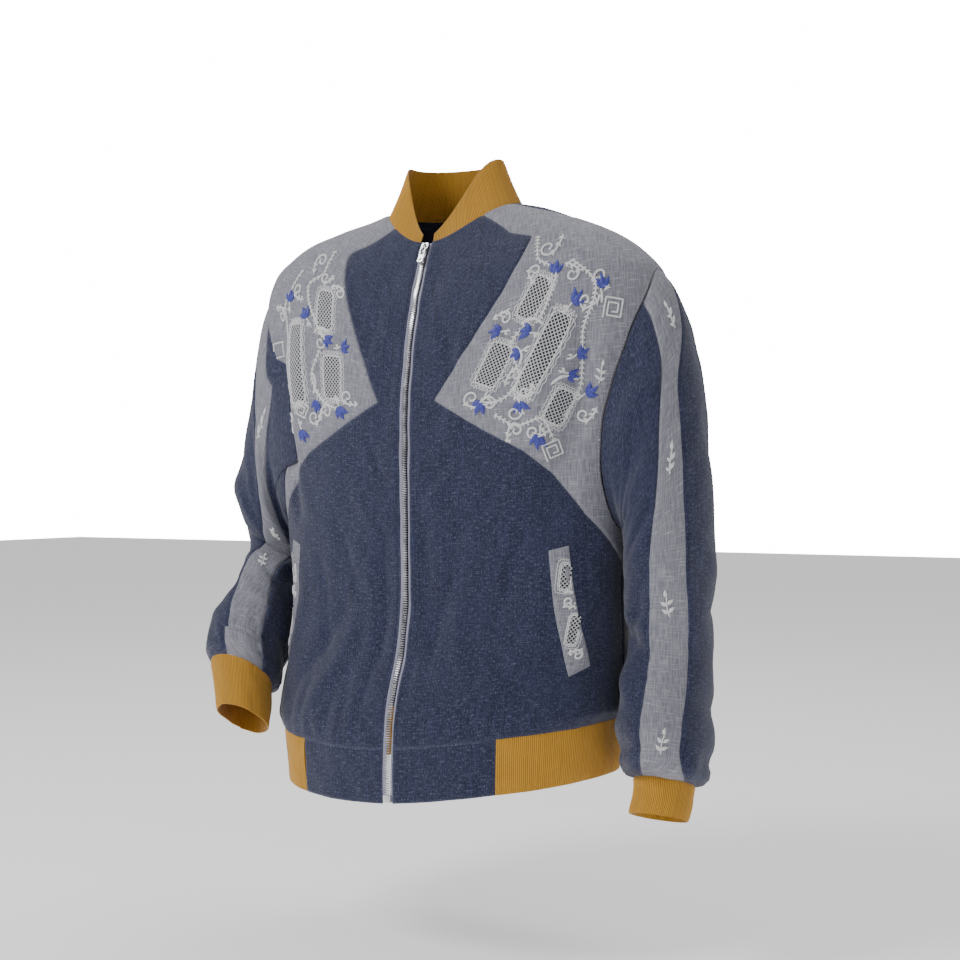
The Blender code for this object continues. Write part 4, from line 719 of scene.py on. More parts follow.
class Cloth:
    """A smooth sheet: u is an angle in degrees round a ring, v the way down it in metres."""

    across = 0.19
    down_reach = 6 * MM

    def fold_depth(self, u, v):
        total = np.zeros(len(u))
        for fold, v_a, v_b in self.folds:
            reach = fold.half_width * MM
            turn_a = (u - fold.angle_a + 180) % 360 - 180
            start = np.stack([np.radians(turn_a) * self.across, v - v_a], axis=1)
            line = np.array([radians(fold.angle_b - fold.angle_a) * self.across, v_b - v_a])
            along = start @ line / (line @ line)
            inside = np.clip(along, 0, 1)
            away = np.linalg.norm(start - inside[:, None] * line, axis=1)
            swell = 0.55 + 0.45 * np.sin(inside * pi)
            total += fold.depth * MM * swell * np.exp(-((away / reach) ** 2))
        return total + self.ripple(u, v)

    def ripple(self, u, v):
        """Low waves in which no two lie alike, as in any cloth that has been worn."""
        across, down = np.radians(u) * self.across, v
        total = np.zeros(len(u))
        for wave in RIPPLES:
            total += wave.height * MM * np.sin(across * wave.across + down * wave.down + wave.start)
        return total * smooth_step(v / RIPPLE_START)

    def plain_normal(self, u, v):
        tiny_u, tiny_v = 0.5, 1 * MM
        by_u = self.plain(u + tiny_u, v) - self.plain(u - tiny_u, v)
        by_v = self.plain(u, v + tiny_v) - self.plain(u, v - tiny_v)
        normal = np.cross(by_v, by_u) * self.outward
        return normal / np.linalg.norm(normal, axis=1)[:, None]

    def point(self, u, v):
        u, v = matched(u, v)
        return self.plain(u, v) + self.plain_normal(u, v) * self.fold_depth(u, v)[:, None]

    def normal(self, u, v):
        u, v = matched(u, v)
        reach_u, reach_v = np.degrees(NORMAL_REACH / self.across), self.down_reach
        by_u = self.point(u + reach_u, v) - self.point(u - reach_u, v)
        by_v = self.point(u, v + reach_v) - self.point(u, v - reach_v)
        normal = np.cross(by_v, by_u) * self.outward
        return normal / np.linalg.norm(normal, axis=1)[:, None]

    def facing(self, v):
        """How far the ring's angles are turned from the sheet's, at v."""
        return np.zeros(len(v))

    def measure(self):
        """Lengths round each ring from its first angle, on a net of angles and ways down."""
        self.net_u = np.linspace(-420, 420, 281)
        self.net_v = np.linspace(0, self.end, 48)
        u, v = np.tile(self.net_u, 48), np.repeat(self.net_v, 281)
        line = self.plain(u - self.facing(v), v).reshape(48, 281, 3)
        far = np.cumsum(np.linalg.norm(np.diff(line, axis=1), axis=2), axis=1)
        far = np.concatenate([np.zeros((48, 1)), far], axis=1)
        self.net_far = far - far[:, 140:141]

    def ring_far(self, v):
        """The row of lengths at each v, between the net's two nearest."""
        share = np.clip(v / self.end, 0, 1) * 47
        low = np.clip(share.astype(int), 0, 46)
        share = (share - low)[:, None]
        return self.net_far[low] * (1 - share) + self.net_far[low + 1] * share

    def flat(self, uv):
        """Where places lie on the flat sheet, in metres across and down."""
        uv = np.asarray(uv, float)
        place = (uv[:, 0] + self.facing(uv[:, 1]) + 420) / 3
        low = np.clip(place.astype(int), 0, 279)
        far = self.ring_far(uv[:, 1])
        row = np.arange(len(uv))
        share = place - low
        return np.stack([far[row, low] * (1 - share) + far[row, low + 1] * share, uv[:, 1]], axis=1)

    def unflat(self, places):
        places = np.asarray(places, float)
        far = self.ring_far(places[:, 1])
        low = np.clip(np.sum(far <= places[:, :1], axis=1) - 1, 0, 279)
        row = np.arange(len(places))
        share = (places[:, 0] - far[row, low]) / (far[row, low + 1] - far[row, low])
        u = (low + share) * 3 - 420 - self.facing(places[:, 1])
        return np.stack([u, places[:, 1]], axis=1)

    def locate(self, axes, target, guess):
        """The (u, v) places where two of the point's coordinates have the target's values."""
        place, target, axes = np.array(guess, float), np.array(target, float), list(axes)
        tiny_u, tiny_v = 0.2, 0.5 * MM
        for _ in range(25):
            u, v = place.T
            here = self.point(u, v)[:, axes]
            by_u = (self.point(u + tiny_u, v)[:, axes] - here) / tiny_u
            by_v = (self.point(u, v + tiny_v)[:, axes] - here) / tiny_v
            slope = np.stack([by_u, by_v], axis=2)
            move = np.linalg.solve(slope, (target - here)[:, :, None])[:, :, 0]
            place += np.clip(move, [-6, -20 * MM], [6, 20 * MM])
        return place


# %% [markdown]
# ### Trunk, armholes, sleeves and collar
# The trunk's rings are flattened circles that tilt down at the front and the back. An armhole is
# an egg drawn on the trunk, and a sleeve starts from that very line. The collar leans inwards.


# %% The trunk
class Body(Cloth):
    """The trunk of the jacket from the neck seam to the lower edge of the hem."""

    outward = 1

    def __init__(self):
        rows = np.array(BODY_ROWS, float)
        side = rows[:, [1, 2, 0]]
        front = np.stack([0 * rows[:, 0], rows[:, 3], rows[:, 4]], axis=1)
        back = np.stack([0 * rows[:, 0], rows[:, 5], rows[:, 6]], axis=1)
        steps = sum(np.linalg.norm(np.diff(line, axis=0), axis=1) for line in (side, front, back)) / 3
        self.down = np.concatenate([[0], np.cumsum(steps)]) * MM
        self.curves = Curves(self.down, rows)
        self.heights = rows[:, 0] * MM
        self.hem = self.down[HEM_ROW]
        self.end = self.down[-1]
        self.folds = [(fold, self.down_at(fold.z_a), self.down_at(fold.z_b)) for fold in BODY_FOLDS]
        self.measure()

    def down_at(self, side_z):
        return float(np.interp(-side_z * MM, -self.heights, self.down))

    def plain(self, u, v):
        row = self.curves.at(v)
        side_z, half_width, side_y, front_y, front_z, back_y, back_z, square, lean = row.T
        turn = np.radians(u)
        ahead = np.cos(turn) >= 0
        depth = np.where(ahead, side_y - front_y, back_y - side_y)
        drop = np.where(ahead, front_z, back_z) - side_z
        reach = (
            np.abs(np.cos(turn) / depth) ** square + np.abs(np.sin(turn) / half_width) ** square
        ) ** (-1 / square)
        x = reach * np.sin(turn)
        y = side_y - reach * np.cos(turn)
        z = side_z + drop * np.cos(turn) ** 2 + lean * np.sin(turn)
        return np.stack([x, y, z], axis=1) * MM

    def angle_at_x(self, v, x):
        """The angle at which the ring at v is this far from the middle, on the front."""
        low, high = np.zeros(len(v)), np.full(len(v), 80.0)
        for _ in range(40):
            middle = (low + high) / 2
            inside = self.plain(middle, v)[:, 0] < abs(x)
            low, high = np.where(inside, middle, low), np.where(inside, high, middle)
        return middle * (1 if x > 0 else -1)


# %% An armhole
class Armhole:
    """The closed seam between the body and one sleeve."""

    def __init__(self, body, side):
        self.side = side
        stripe = np.linspace(0, STRIPE_LAST, ARM_STRIPE_PARTS)
        front = np.linspace(STRIPE_LAST, UNDERARM, ARM_FRONT_PARTS + 1)[1:]
        behind = np.linspace(UNDERARM, 360 + STRIPE_FIRST, ARM_BACK_PARTS + 1)[1:]
        self.turns = np.concatenate([[STRIPE_FIRST, STRIPE_FIRST / 2], stripe, front, behind])
        turns = np.radians(self.turns)
        depth = np.where(np.sin(turns) > 0, ARM_FRONT_DEPTH[side], ARM_BACK_DEPTH)
        y = ARM_Y + ARM_LEAN * np.cos(turns) - depth * np.sin(turns)
        z = ARM_Z + ARM_HALF_HEIGHT * np.cos(turns)
        guess = np.stack([side * (90 - 28 * np.sin(turns)), [body.down_at(h / MM) for h in z]], axis=1)
        self.uv = body.locate((1, 2), np.stack([y, z], axis=1), guess)
        self.points = body.point(self.uv[:, 0], self.uv[:, 1])
        self.curve = Curves(self.turns, self.points)

    def at(self, turn):
        """A point on the seam at any turn in degrees."""
        turn = (np.asarray(turn, float) - STRIPE_FIRST) % 360 + STRIPE_FIRST
        return self.curve.at(turn)

    def run(self, first, last):
        """The body's side of the seam, from one turn to a later one."""
        wanted = [i for i, turn in enumerate(self.turns) if first - 0.01 <= turn <= last + 0.01]
        return Run(self.uv[wanted], self.points[wanted])


# %% A sleeve
class Sleeve(Cloth):
    """A sleeve and its cuff, from the armhole down. u is counted from the stripe's middle."""

    across = 0.062

    def __init__(self, side, rows, cuff_row, folds, armhole):
        self.side = side
        self.outward = -side
        self.armhole = armhole
        table = np.array(rows, float)
        middle, outer = table[:, :3], table[:, :3] + table[:, 3:6]
        steps = sum(np.linalg.norm(np.diff(line, axis=0), axis=1) for line in (middle, outer)) / 2
        self.down = np.concatenate([[0], np.cumsum(steps)]) * MM
        self.curves = Curves(self.down, table)
        self.heights = table[:, 2] * MM
        self.first_turn = rows[0].turn
        self.cuff = self.down[cuff_row]
        self.end = self.down[-1]
        self.folds = [(fold, self.down_at(fold.z_a), self.down_at(fold.z_b)) for fold in folds]
        self.measure()

    def down_at(self, z):
        return float(np.interp(-z * MM, -self.heights, self.down))

    def ring(self, u, v):
        x, y, z, out_x, out_y, out_z, half_depth, pitch, turn = self.curves.at(v).T
        angle = np.radians(u + turn)
        lift = np.radians(pitch)
        x = x + out_x * np.cos(angle)
        y = y + out_y * np.cos(angle) - half_depth * np.cos(lift) * np.sin(angle)
        z = z + out_z * np.cos(angle) + half_depth * np.sin(lift) * np.sin(angle)
        return np.stack([self.side * x, y, z], axis=1) * MM

    def plain(self, u, v):
        facing = u + self.curves.at(v)[:, 8]
        shift = self.armhole.at(facing) - self.ring(facing - self.first_turn, np.zeros(len(v)))
        fade = (1 - smooth_step(v / SLEEVE_BLEND)) * (1 - np.clip(v / SLEEVE_BLEND, 0, 1))
        return self.ring(u, v) + shift * fade[:, None]

    def facing(self, v):
        return self.curves.at(v)[:, 8]

    def stripe_edge(self, v, edge):
        """The angle of the stripe's front (1) or back (-1) edge at v."""
        row = self.curves.at(v)
        turn = np.radians(row[:, 8] + edge * 20)
        out = np.linalg.norm(row[:, 3:6], axis=1)
        radius = np.sqrt((out * np.sin(turn)) ** 2 + (row[:, 6] * np.cos(turn)) ** 2) * MM
        half = STRIPE_HALF_TOP + (STRIPE_HALF_LOW - STRIPE_HALF_TOP) * np.asarray(v) / self.cuff
        settled = np.degrees(half / radius)
        started = STRIPE_LAST - self.first_turn if edge > 0 else self.first_turn - STRIPE_FIRST
        share = smooth_step(np.asarray(v) / STRIPE_SETTLE)
        return edge * (started * (1 - share) + settled * share)

    def underarm_edge(self, v):
        """The angle of the underarm seam at v, which drifts back towards the cuff."""
        drift = UNDERARM_DRIFT[self.side] * smooth_step(np.asarray(v) / self.cuff)
        return UNDERARM + drift - self.curves.at(v)[:, 8]


# %% The collar
class Collar(Cloth):
    """The rib collar that stands on the neck seam. v is the share of its height."""

    across = 0.07
    down_reach = 0.05
    outward = -1
    folds = []

    def __init__(self, body):
        self.body = body

    def ripple(self, u, v):
        return 0.6 * MM * np.sin(np.radians(u) * 5 + 1.2) * v

    def tall(self, u):
        ahead = np.minimum(np.abs((u + 180) % 360 - 180) / COLLAR_FULL_ANGLE, 1)
        return COLLAR_END_TALL + (COLLAR_TALL - COLLAR_END_TALL) * np.sin(ahead * pi / 2) ** 1.15

    def plain(self, u, v):
        foot = self.body.plain(u, np.zeros(len(u)))
        inward = foot * [-1, -1, 0] + [0, BODY_ROWS[0].side_y * MM, 0]
        inward /= np.linalg.norm(inward, axis=1)[:, None]
        up = (v * self.tall(u))[:, None]
        bow = 1 + 0.25 * (1 - v)[:, None]
        return foot + up * ([0, 0, 1] + inward * COLLAR_LEAN * bow)


# %% [markdown]
# ## Runs of points
# A seam is a run: its places on the sheet and their points in space. Runs are joined into the
# outline of each piece, and a few small helpers measure how far a place is from an outline.

# %% Runs and outlines
Run = namedtuple("Run", "uv points")


def seam(cloth, places, step=SEAM_STEP):
    """A run of points on straight lines between (u, v) places, evenly spaced along each."""
    found = []
    for first, last in zip(places[:-1], places[1:]):
        ends = cloth.point([first[0], last[0]], [first[1], last[1]])
        parts = max(1, int(ceil(np.linalg.norm(ends[1] - ends[0]) / step)))
        found += [np.array(first) + (np.array(last) - first) * i / parts for i in range(parts)]
    uv = np.array(found + [np.array(places[-1], float)])
    return Run(uv, cloth.point(uv[:, 0], uv[:, 1]))


def backwards(run):
    return Run(run.uv[::-1], run.points[::-1])


def turned(run, degrees):
    """The same run, with its angles counted a whole turn on."""
    return Run(run.uv + [degrees, 0], run.points)


def moved_uv(run, uv):
    return Run(np.array(uv, float), run.points)


def loop_of(*runs):
    """One closed outline from runs that each start where the one before ends."""
    return Run(
        np.concatenate([run.uv[:-1] for run in runs]),
        np.concatenate([run.points[:-1] for run in runs]),
    )


def joined(*runs):
    """One open run from runs that each start where the one before ends."""
    return Run(
        np.concatenate([runs[0].uv] + [run.uv[1:] for run in runs[1:]]),
        np.concatenate([runs[0].points] + [run.points[1:] for run in runs[1:]]),
    )


def line_of(cloth, angles, downs):
    """A run through the given angles, one for each way down."""
    uv = np.stack([angles, downs], axis=1)
    return Run(uv, cloth.point(uv[:, 0], uv[:, 1]))


def inside(outline, places):
    """Which places lie within the outline."""
    found = np.zeros(len(places), bool)
    for a, b in zip(outline, np.roll(outline, -1, axis=0)):
        crosses = (a[1] > places[:, 1]) != (b[1] > places[:, 1])
        height = np.where(b[1] == a[1], 1, b[1] - a[1])
        at = a[0] + (places[:, 1] - a[1]) * (b[0] - a[0]) / height
        found ^= crosses & (places[:, 0] < at)
    return found


def clearance(outline, places, closed=True):
    """How far each place is from the outline, or from an open line."""
    nearest = np.full(len(places), np.inf)
    ends = np.roll(outline, -1, axis=0)
    for a, b in list(zip(outline, ends))[: None if closed else -1]:
        line = b - a
        share = np.clip((places - a) @ line / max(line @ line, 1e-12), 0, 1)
        nearest = np.minimum(nearest, np.linalg.norm(places - a - share[:, None] * line, axis=1))
    return nearest


def grid_within(outline, step, others=(), lines=()):
    """Places in staggered rows inside an outline, clear of its edge, other outlines and lines."""
    low, high = outline.min(axis=0), outline.max(axis=0)
    rows = np.arange(low[1] + step / 2, high[1], step * 0.87)
    found = []
    for number, height in enumerate(rows):
        shift = step / 2 if number % 2 else 0
        across = np.arange(low[0] + step / 4 + shift, high[0], step)
        found.append(np.stack([across, np.full(len(across), height)], axis=1))
    places = np.concatenate(found) if found else np.zeros((0, 2))
    keep = inside(outline, places) & (clearance(outline, places) > step * 0.55)
    for other in others:
        keep &= clearance(other, places) > step * 0.4
    for line in lines:
        keep &= clearance(line, places, closed=False) > step * 0.45
    return places[keep]

# %% [markdown]
# ## Cutting a piece of cloth
# A piece is an outline on a sheet. It is filled with a fine net of triangles, laid on the sheet
# and given a thin wall. Two rings of points just inside the outline let its edge roll down into
# the seam and swell beside it, as an edge does over its seam allowance.

# %% Fill an outline and give it a wall
CLOTH_STEP, HIDDEN_STEP, CLOTH_THIN = 5.4 * MM, 8.0 * MM, 1.0 * MM
RIM_MARKS = 40
ROLL_RINGS = (1.2 * MM, 3.0 * MM, 5.4 * MM)
ROLL_SINK, ROLL_REACH = 1.0 * MM, 1.3 * MM
ROLL_SWELL, SWELL_AT, SWELL_REACH = 0.45 * MM, 4.2 * MM, 3.0 * MM
sheets, outlines = {}, {}


def ring_inside(flat, gap):
    """Points a little inside a flat outline, one for each of its own."""
    area = np.sum(flat[:, 0] * np.roll(flat[:, 1], -1) - flat[:, 1] * np.roll(flat[:, 0], -1))
    ahead = np.roll(flat, -1, axis=0) - np.roll(flat, 1, axis=0)
    ahead /= np.maximum(np.linalg.norm(ahead, axis=1), 1e-9)[:, None]
    inward = np.stack([-ahead[:, 1], ahead[:, 0]], axis=1) * np.sign(area)
    found = flat + inward * gap
    return found[inside(flat, found) & (clearance(flat, found) > 0.93 * gap)]


def edge_roll(away):
    sink = ROLL_SINK * np.exp(-((away / ROLL_REACH) ** 2))
    return ROLL_SWELL * np.exp(-(((away - SWELL_AT) / SWELL_REACH) ** 2)) - sink


def flat_area(flat):
    return abs(np.sum(flat[:, 0] * np.roll(flat[:, 1], -1) - flat[:, 1] * np.roll(flat[:, 0], -1))) / 2


def least_box(flat):
    """The sides of the least box round a flat outline, over every whole degree of turn."""
    sides = []
    for turn in np.radians(range(90)):
        turned = flat @ np.array([[cos(turn), -sin(turn)], [sin(turn), cos(turn)]])
        sides.append(turned.max(axis=0) - turned.min(axis=0))
    return min(sides, key=lambda pair: pair[0] * pair[1])


def ways_from(start, near):
    """How far every point of a net is from one of them, along its edges."""
    far, waiting = {start: 0.0}, [(0.0, start)]
    while waiting:
        gone, here = heappop(waiting)
        if gone > far[here]:
            continue
        for there, step in near[here]:
            if there not in far or gone + step < far[there]:
                far[there] = gone + step
                heappush(waiting, (far[there], there))
    return far


def unfold(points, faces, rim):
    """A finished face laid flat: its rim, placed so that ways along the cloth keep their length."""
    near = {}
    for face in faces:
        for a, b in zip(face, face[1:] + face[:1]):
            step = float(np.linalg.norm(points[a] - points[b]))
            near.setdefault(a, []).append((b, step))
            near.setdefault(b, []).append((a, step))
    marks = rim[:: max(1, len(rim) // RIM_MARKS)]
    ways = np.array([[far[mark] for mark in marks] for far in (ways_from(mark, near) for mark in marks)])
    middle = np.eye(len(marks)) - 1 / len(marks)
    values, directions = np.linalg.eigh(-middle @ ways**2 @ middle / 2)
    return directions[:, -2:] * np.sqrt(values[-2:]), points[marks]


def way_round(places):
    return float(np.linalg.norm(places - np.roll(places, 1, axis=0), axis=1).sum())


def make_shell(name, outer, inner, faces, flat, finish, values):
    """A closed thin wall, with its flat sheet as its UV map and its values as attributes."""
    count = len(outer)
    edges = {(a, b) for face in faces for a, b in zip(face, face[1:] + face[:1])}
    walls = [(b, a, a + count, b + count) for a, b in edges if (b, a) not in edges]
    back = [tuple(i + count for i in reversed(face)) for face in faces]
    mesh = bpy.data.meshes.new(name)
    mesh.from_pydata(np.concatenate([outer, inner]).tolist(), [], [tuple(f) for f in faces] + back + walls)
    corners = np.zeros(len(mesh.loops), np.int32)
    mesh.loops.foreach_get("vertex_index", corners)
    mesh.uv_layers.new(name="cut").data.foreach_set("uv", np.tile(flat, (2, 1))[corners].ravel())
    for key, value in values.items():
        layer = mesh.attributes.new(key, "FLOAT", "POINT")
        layer.data.foreach_set("value", np.tile(value, 2).astype(np.float32))
    mesh.shade_smooth()
    mesh.set_sharp_from_angle(angle=radians(60))
    mesh.materials.append(finish)
    made = bpy.data.objects.new(name, mesh)
    bpy.context.collection.objects.link(made)
    return made


def net_within(flat, rings, step):
    """Triangles that fill a flat outline, and the places of their corners."""
    places = grid_within(flat, step)
    places = places[clearance(flat, places) > ROLL_RINGS[-1] + 0.45 * step]
    cloud = np.concatenate([flat, *rings, places])
    edges = [(i, (i + 1) % len(flat)) for i in range(len(flat))]
    found = delaunay_2d_cdt([Vector(p) for p in cloud], edges, [], 1, 1e-7)
    kept = np.array([tuple(p) for p in found[0]])
    order = {new: ids[0] if ids else None for new, ids in enumerate(found[3])}
    return kept, [list(face) for face in found[2]], order


def cut(name, cloth, outline, finish, step=CLOTH_STEP, lift=0.0, thin=CLOTH_THIN):
    """One piece of cloth, as a closed thin shell."""
    flat = cloth.flat(outline.uv)
    places, faces, order = net_within(flat, [ring_inside(flat, gap) for gap in ROLL_RINGS], step)
    uv = cloth.unflat(places)
    points, out = cloth.point(*uv.T), cloth.normal(*uv.T)
    rim = [(new, old) for new, old in order.items() if old is not None and old < len(flat)]
    away = clearance(flat, places)
    middle = flat.mean(axis=0)
    for new, old in rim:
        points[new], away[new] = outline.points[old], 0
    a, b, c = faces[0]
    if np.cross(points[b] - points[a], points[c] - points[a]) @ out[a] < 0:
        faces = [face[::-1] for face in faces]
    outer = points + out * (lift + edge_roll(away))[:, None]
    made = make_shell(name, outer, outer - out * thin, faces, places - middle, finish, {"from_seam": away})
    # The cut is laid flat in two ways: by the map and by unfolding the finished face. Real cloth
    # would keep both its area and the length of its edge. The way that misses least on the two
    # together counts. Cloth keeps its area, so the face's own area then sets the scale.
    area = float(sum(face.area for face in mesh_faces(made)[: len(faces)]))
    ways = {"map": (flat, outline.points)}
    ways["unfolding"] = unfold(outer, faces, [new for new, old in sorted(rim, key=lambda pair: pair[1])])
    tried = []
    for way, (laid, rim_points) in ways.items():
        kept = area / flat_area(laid)
        edge = sqrt(kept) * way_round(laid) / way_round(np.array(rim_points))
        miss = abs(float(np.log(kept))) + abs(float(np.log(edge)))
        tried.append((miss, way, kept, edge, least_box(laid) * sqrt(kept)))
    wide, tall = min(tried, key=lambda row: row[0])[4]
    sheets[name] = (made, float(wide), float(tall), area)
    outlines[name] = flat
    print(name, len(mesh_faces(made)), "faces,", round(wide * 1000), "x", round(tall * 1000), "mm")
    for miss, way, kept, edge, _ in tried:
        print("    by", way, "area kept", round(kept, 3), "edge kept", round(edge, 3), "miss", round(miss, 3))
    return made


def mesh_faces(thing):
    return thing.data.polygons


# %% [markdown]
# ## The seams
# Each seam is a run of points that both of its pieces share, so no gap can open between them.
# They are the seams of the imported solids, followed with finer steps.

# %% Every seam of one side
def side_runs(body, armhole, side):
    """Every seam of one side of the body, by name."""

    def place(point, back=False):
        away = np.degrees(atan2(point.x, 105))
        guess = [(side * (180 - away if back else away), body.down_at(point.z + 22))]
        return tuple(body.locate((0, 2), [(side * point.x * MM, point.z * MM)], guess)[0])

    neck_angle, neck_end = side * INSERT_NECK_ANGLE[side], (side * SHOULDER_NECK_ANGLE, 0)
    side_low, side_hem = (side * 90, body.down_at(INSERT_SIDE_Z)), (side * 90, body.hem)
    underarm = tuple(armhole.uv[list(armhole.turns).index(UNDERARM)])
    shoulder = tuple(armhole.uv[list(armhole.turns).index(0)])
    shoulder_start = shoulder_place(body, side)
    tip, back_tip = place(INSERT_TIP), place(BACK_TIP, back=True)

    downs = np.linspace(0, body.hem, ZIP_PARTS + 1)
    band_downs = np.linspace(body.hem, body.end, BAND_PARTS + 1)
    tape_line = body.angle_at_x(downs, side * TAPE_EDGE)
    band_line = body.angle_at_x(band_downs, side * TAPE_EDGE)
    band_end = float(body.angle_at_x(np.array([body.hem]), side * BAND_END_X)[0])
    centre = line_of(body, body.angle_at_x(downs, side * ZIP_OPENING), downs)
    band_centre = line_of(body, body.angle_at_x(band_downs, side * ZIP_OPENING), band_downs)
    neck_front = [tuple(centre.uv[0]), (float(tape_line[0]), 0), (side * 24, 0), (neck_angle, 0)]
    welt = seam(body, [place(p) for p in WELT + WELT[:1]], TRIM_STEP)
    return dict(
        centre=centre,
        band_centre=band_centre,
        tape_line=line_of(body, tape_line[1:-1], downs[1:-1]),
        band_line=line_of(body, band_line[1:-1], band_downs[1:-1]),
        neck_front=seam(body, neck_front, NECK_STEP),
        neck_insert=seam(body, [(neck_angle, 0), neck_end], NECK_STEP),
        shoulder_in=seam(body, [neck_end, shoulder_start]),
        shoulder_out=seam(body, [shoulder_start, shoulder]),
        insert_front=seam(body, [(neck_angle, 0)] + [place(p) for p in INSERT_EDGE[side]] + [tip]),
        insert_lower=seam(body, [tip] + [place(p) for p in INSERT_LOWER] + [side_low]),
        back_edge=seam(body, [shoulder_start, back_tip]),
        back_lower=seam(body, [back_tip] + [place(p, back=True) for p in BACK_LOWER] + [side_low]),
        underarm_side=seam(body, [underarm, side_low]),
        side_front=seam(body, [side_low, side_hem]),
        hem_band=seam(body, [tuple(centre.uv[-1]), (band_end, body.hem)]),
        hem_rest=seam(body, [(band_end, body.hem), side_hem]),
        band_side=seam(body, [(band_end, body.hem), (band_end, body.end)]),
        band_low=seam(body, [tuple(band_centre.uv[-1]), (band_end, body.end)]),
        welt=Run(welt.uv[:-1], welt.points[:-1]),
    )


def shoulder_place(body, side):
    """Where the shoulder seam is BACK_SHOULDER_X from the middle."""
    angle = side * BACK_SHOULDER_ANGLE
    downs = np.linspace(0, body.down_at(-100), 200)
    x = np.abs(body.point(np.full(200, float(angle)), downs)[:, 0])
    return (angle, float(np.interp(BACK_SHOULDER_X * MM, x, downs)))


def back_neck(body):
    """The neck seam from one shoulder round the back to the other."""
    first, last = SHOULDER_NECK_ANGLE, 360 - SHOULDER_NECK_ANGLE
    return seam(body, [(angle, 0) for angle in np.linspace(first, last, 5)], NECK_STEP)

# %% [markdown]
# ## Fronts, inserts and hem bands
# The trunk's pieces meet at the seams above. Each front runs from the zip to the side, and the
# grey insert crosses the chest, with its other part behind the shoulder.

# %% Lay out the curves and cut the trunk
body = Body()
armholes = {side: Armhole(body, side) for side in (1, -1)}
sleeves = {
    1: Sleeve(1, LEFT_SLEEVE, LEFT_CUFF_ROW, LEFT_SLEEVE_FOLDS, armholes[1]),
    -1: Sleeve(-1, RIGHT_SLEEVE, RIGHT_CUFF_ROW, RIGHT_SLEEVE_FOLDS, armholes[-1]),
}
runs = {side: side_runs(body, armholes[side], side) for side in (1, -1)}
WORDS = {1: "left", -1: "right"}
WELT_LIFT, CHEST_STEP = 1.5 * MM, 3.8 * MM


def cut_side(side):
    """The pieces of one side of the trunk."""
    word, seams, arm = WORDS[side], runs[side], armholes[side]
    front = loop_of(
        seams["centre"],
        joined(seams["hem_band"], seams["hem_rest"]),
        backwards(seams["side_front"]),
        backwards(seams["insert_lower"]),
        backwards(seams["insert_front"]),
        backwards(seams["neck_front"]),
    )
    cut("front_" + word, body, front, DENIM)
    chest = loop_of(
        seams["insert_front"],
        seams["insert_lower"],
        backwards(seams["underarm_side"]),
        backwards(arm.run(0, UNDERARM)),
        backwards(seams["shoulder_out"]),
        backwards(seams["shoulder_in"]),
        backwards(seams["neck_insert"]),
    )
    cut("chest_piece_" + word, body, chest, GREY, step=CHEST_STEP)
    around, shoulder = arm.run(UNDERARM, 360), seams["shoulder_out"]
    around = Run(
        np.concatenate([around.uv, shoulder.uv[-1:]]), np.concatenate([around.points, shoulder.points[-1:]])
    )
    behind = loop_of(
        seams["back_edge"],
        seams["back_lower"],
        backwards(seams["underarm_side"]),
        around,
        backwards(shoulder),
    )
    cut("shoulder_piece_" + word, body, behind, GREY)
    band = loop_of(
        seams["band_centre"], seams["band_low"], backwards(seams["band_side"]), backwards(seams["hem_band"])
    )
    cut("band_" + word, body, band, DENIM)
    cut("welt_cover_" + word, body, seams["welt"], GREY, lift=WELT_LIFT)


for side in (1, -1):
    cut_side(side)

# %% [markdown]
# ## Back
# The back is one piece of denim between the two shoulder pieces, down to the hem's rib.

# %% Cut the back
right_runs = {name: turned(run, 360) for name, run in runs[-1].items()}


def back_hem():
    return seam(body, [(angle, body.hem) for angle in (90, 135, 180, 225, 270)])


back = loop_of(
    back_neck(body),
    right_runs["shoulder_in"],
    right_runs["back_edge"],
    right_runs["back_lower"],
    right_runs["side_front"],
    backwards(back_hem()),
    backwards(runs[1]["side_front"]),
    backwards(runs[1]["back_lower"]),
    backwards(runs[1]["back_edge"]),
    backwards(runs[1]["shoulder_in"]),
)
cut("back", body, back, DENIM, step=HIDDEN_STEP)

# %% [markdown]
# ## Sleeves
# A sleeve has a front, a back and a grey stripe along its outer line. On the right one a grey
# block crosses the stripe's lower end, just above the cuff.

# %% Cut both sleeves
SLEEVE_ROWS = 90
BLOCK_ROWS = 6


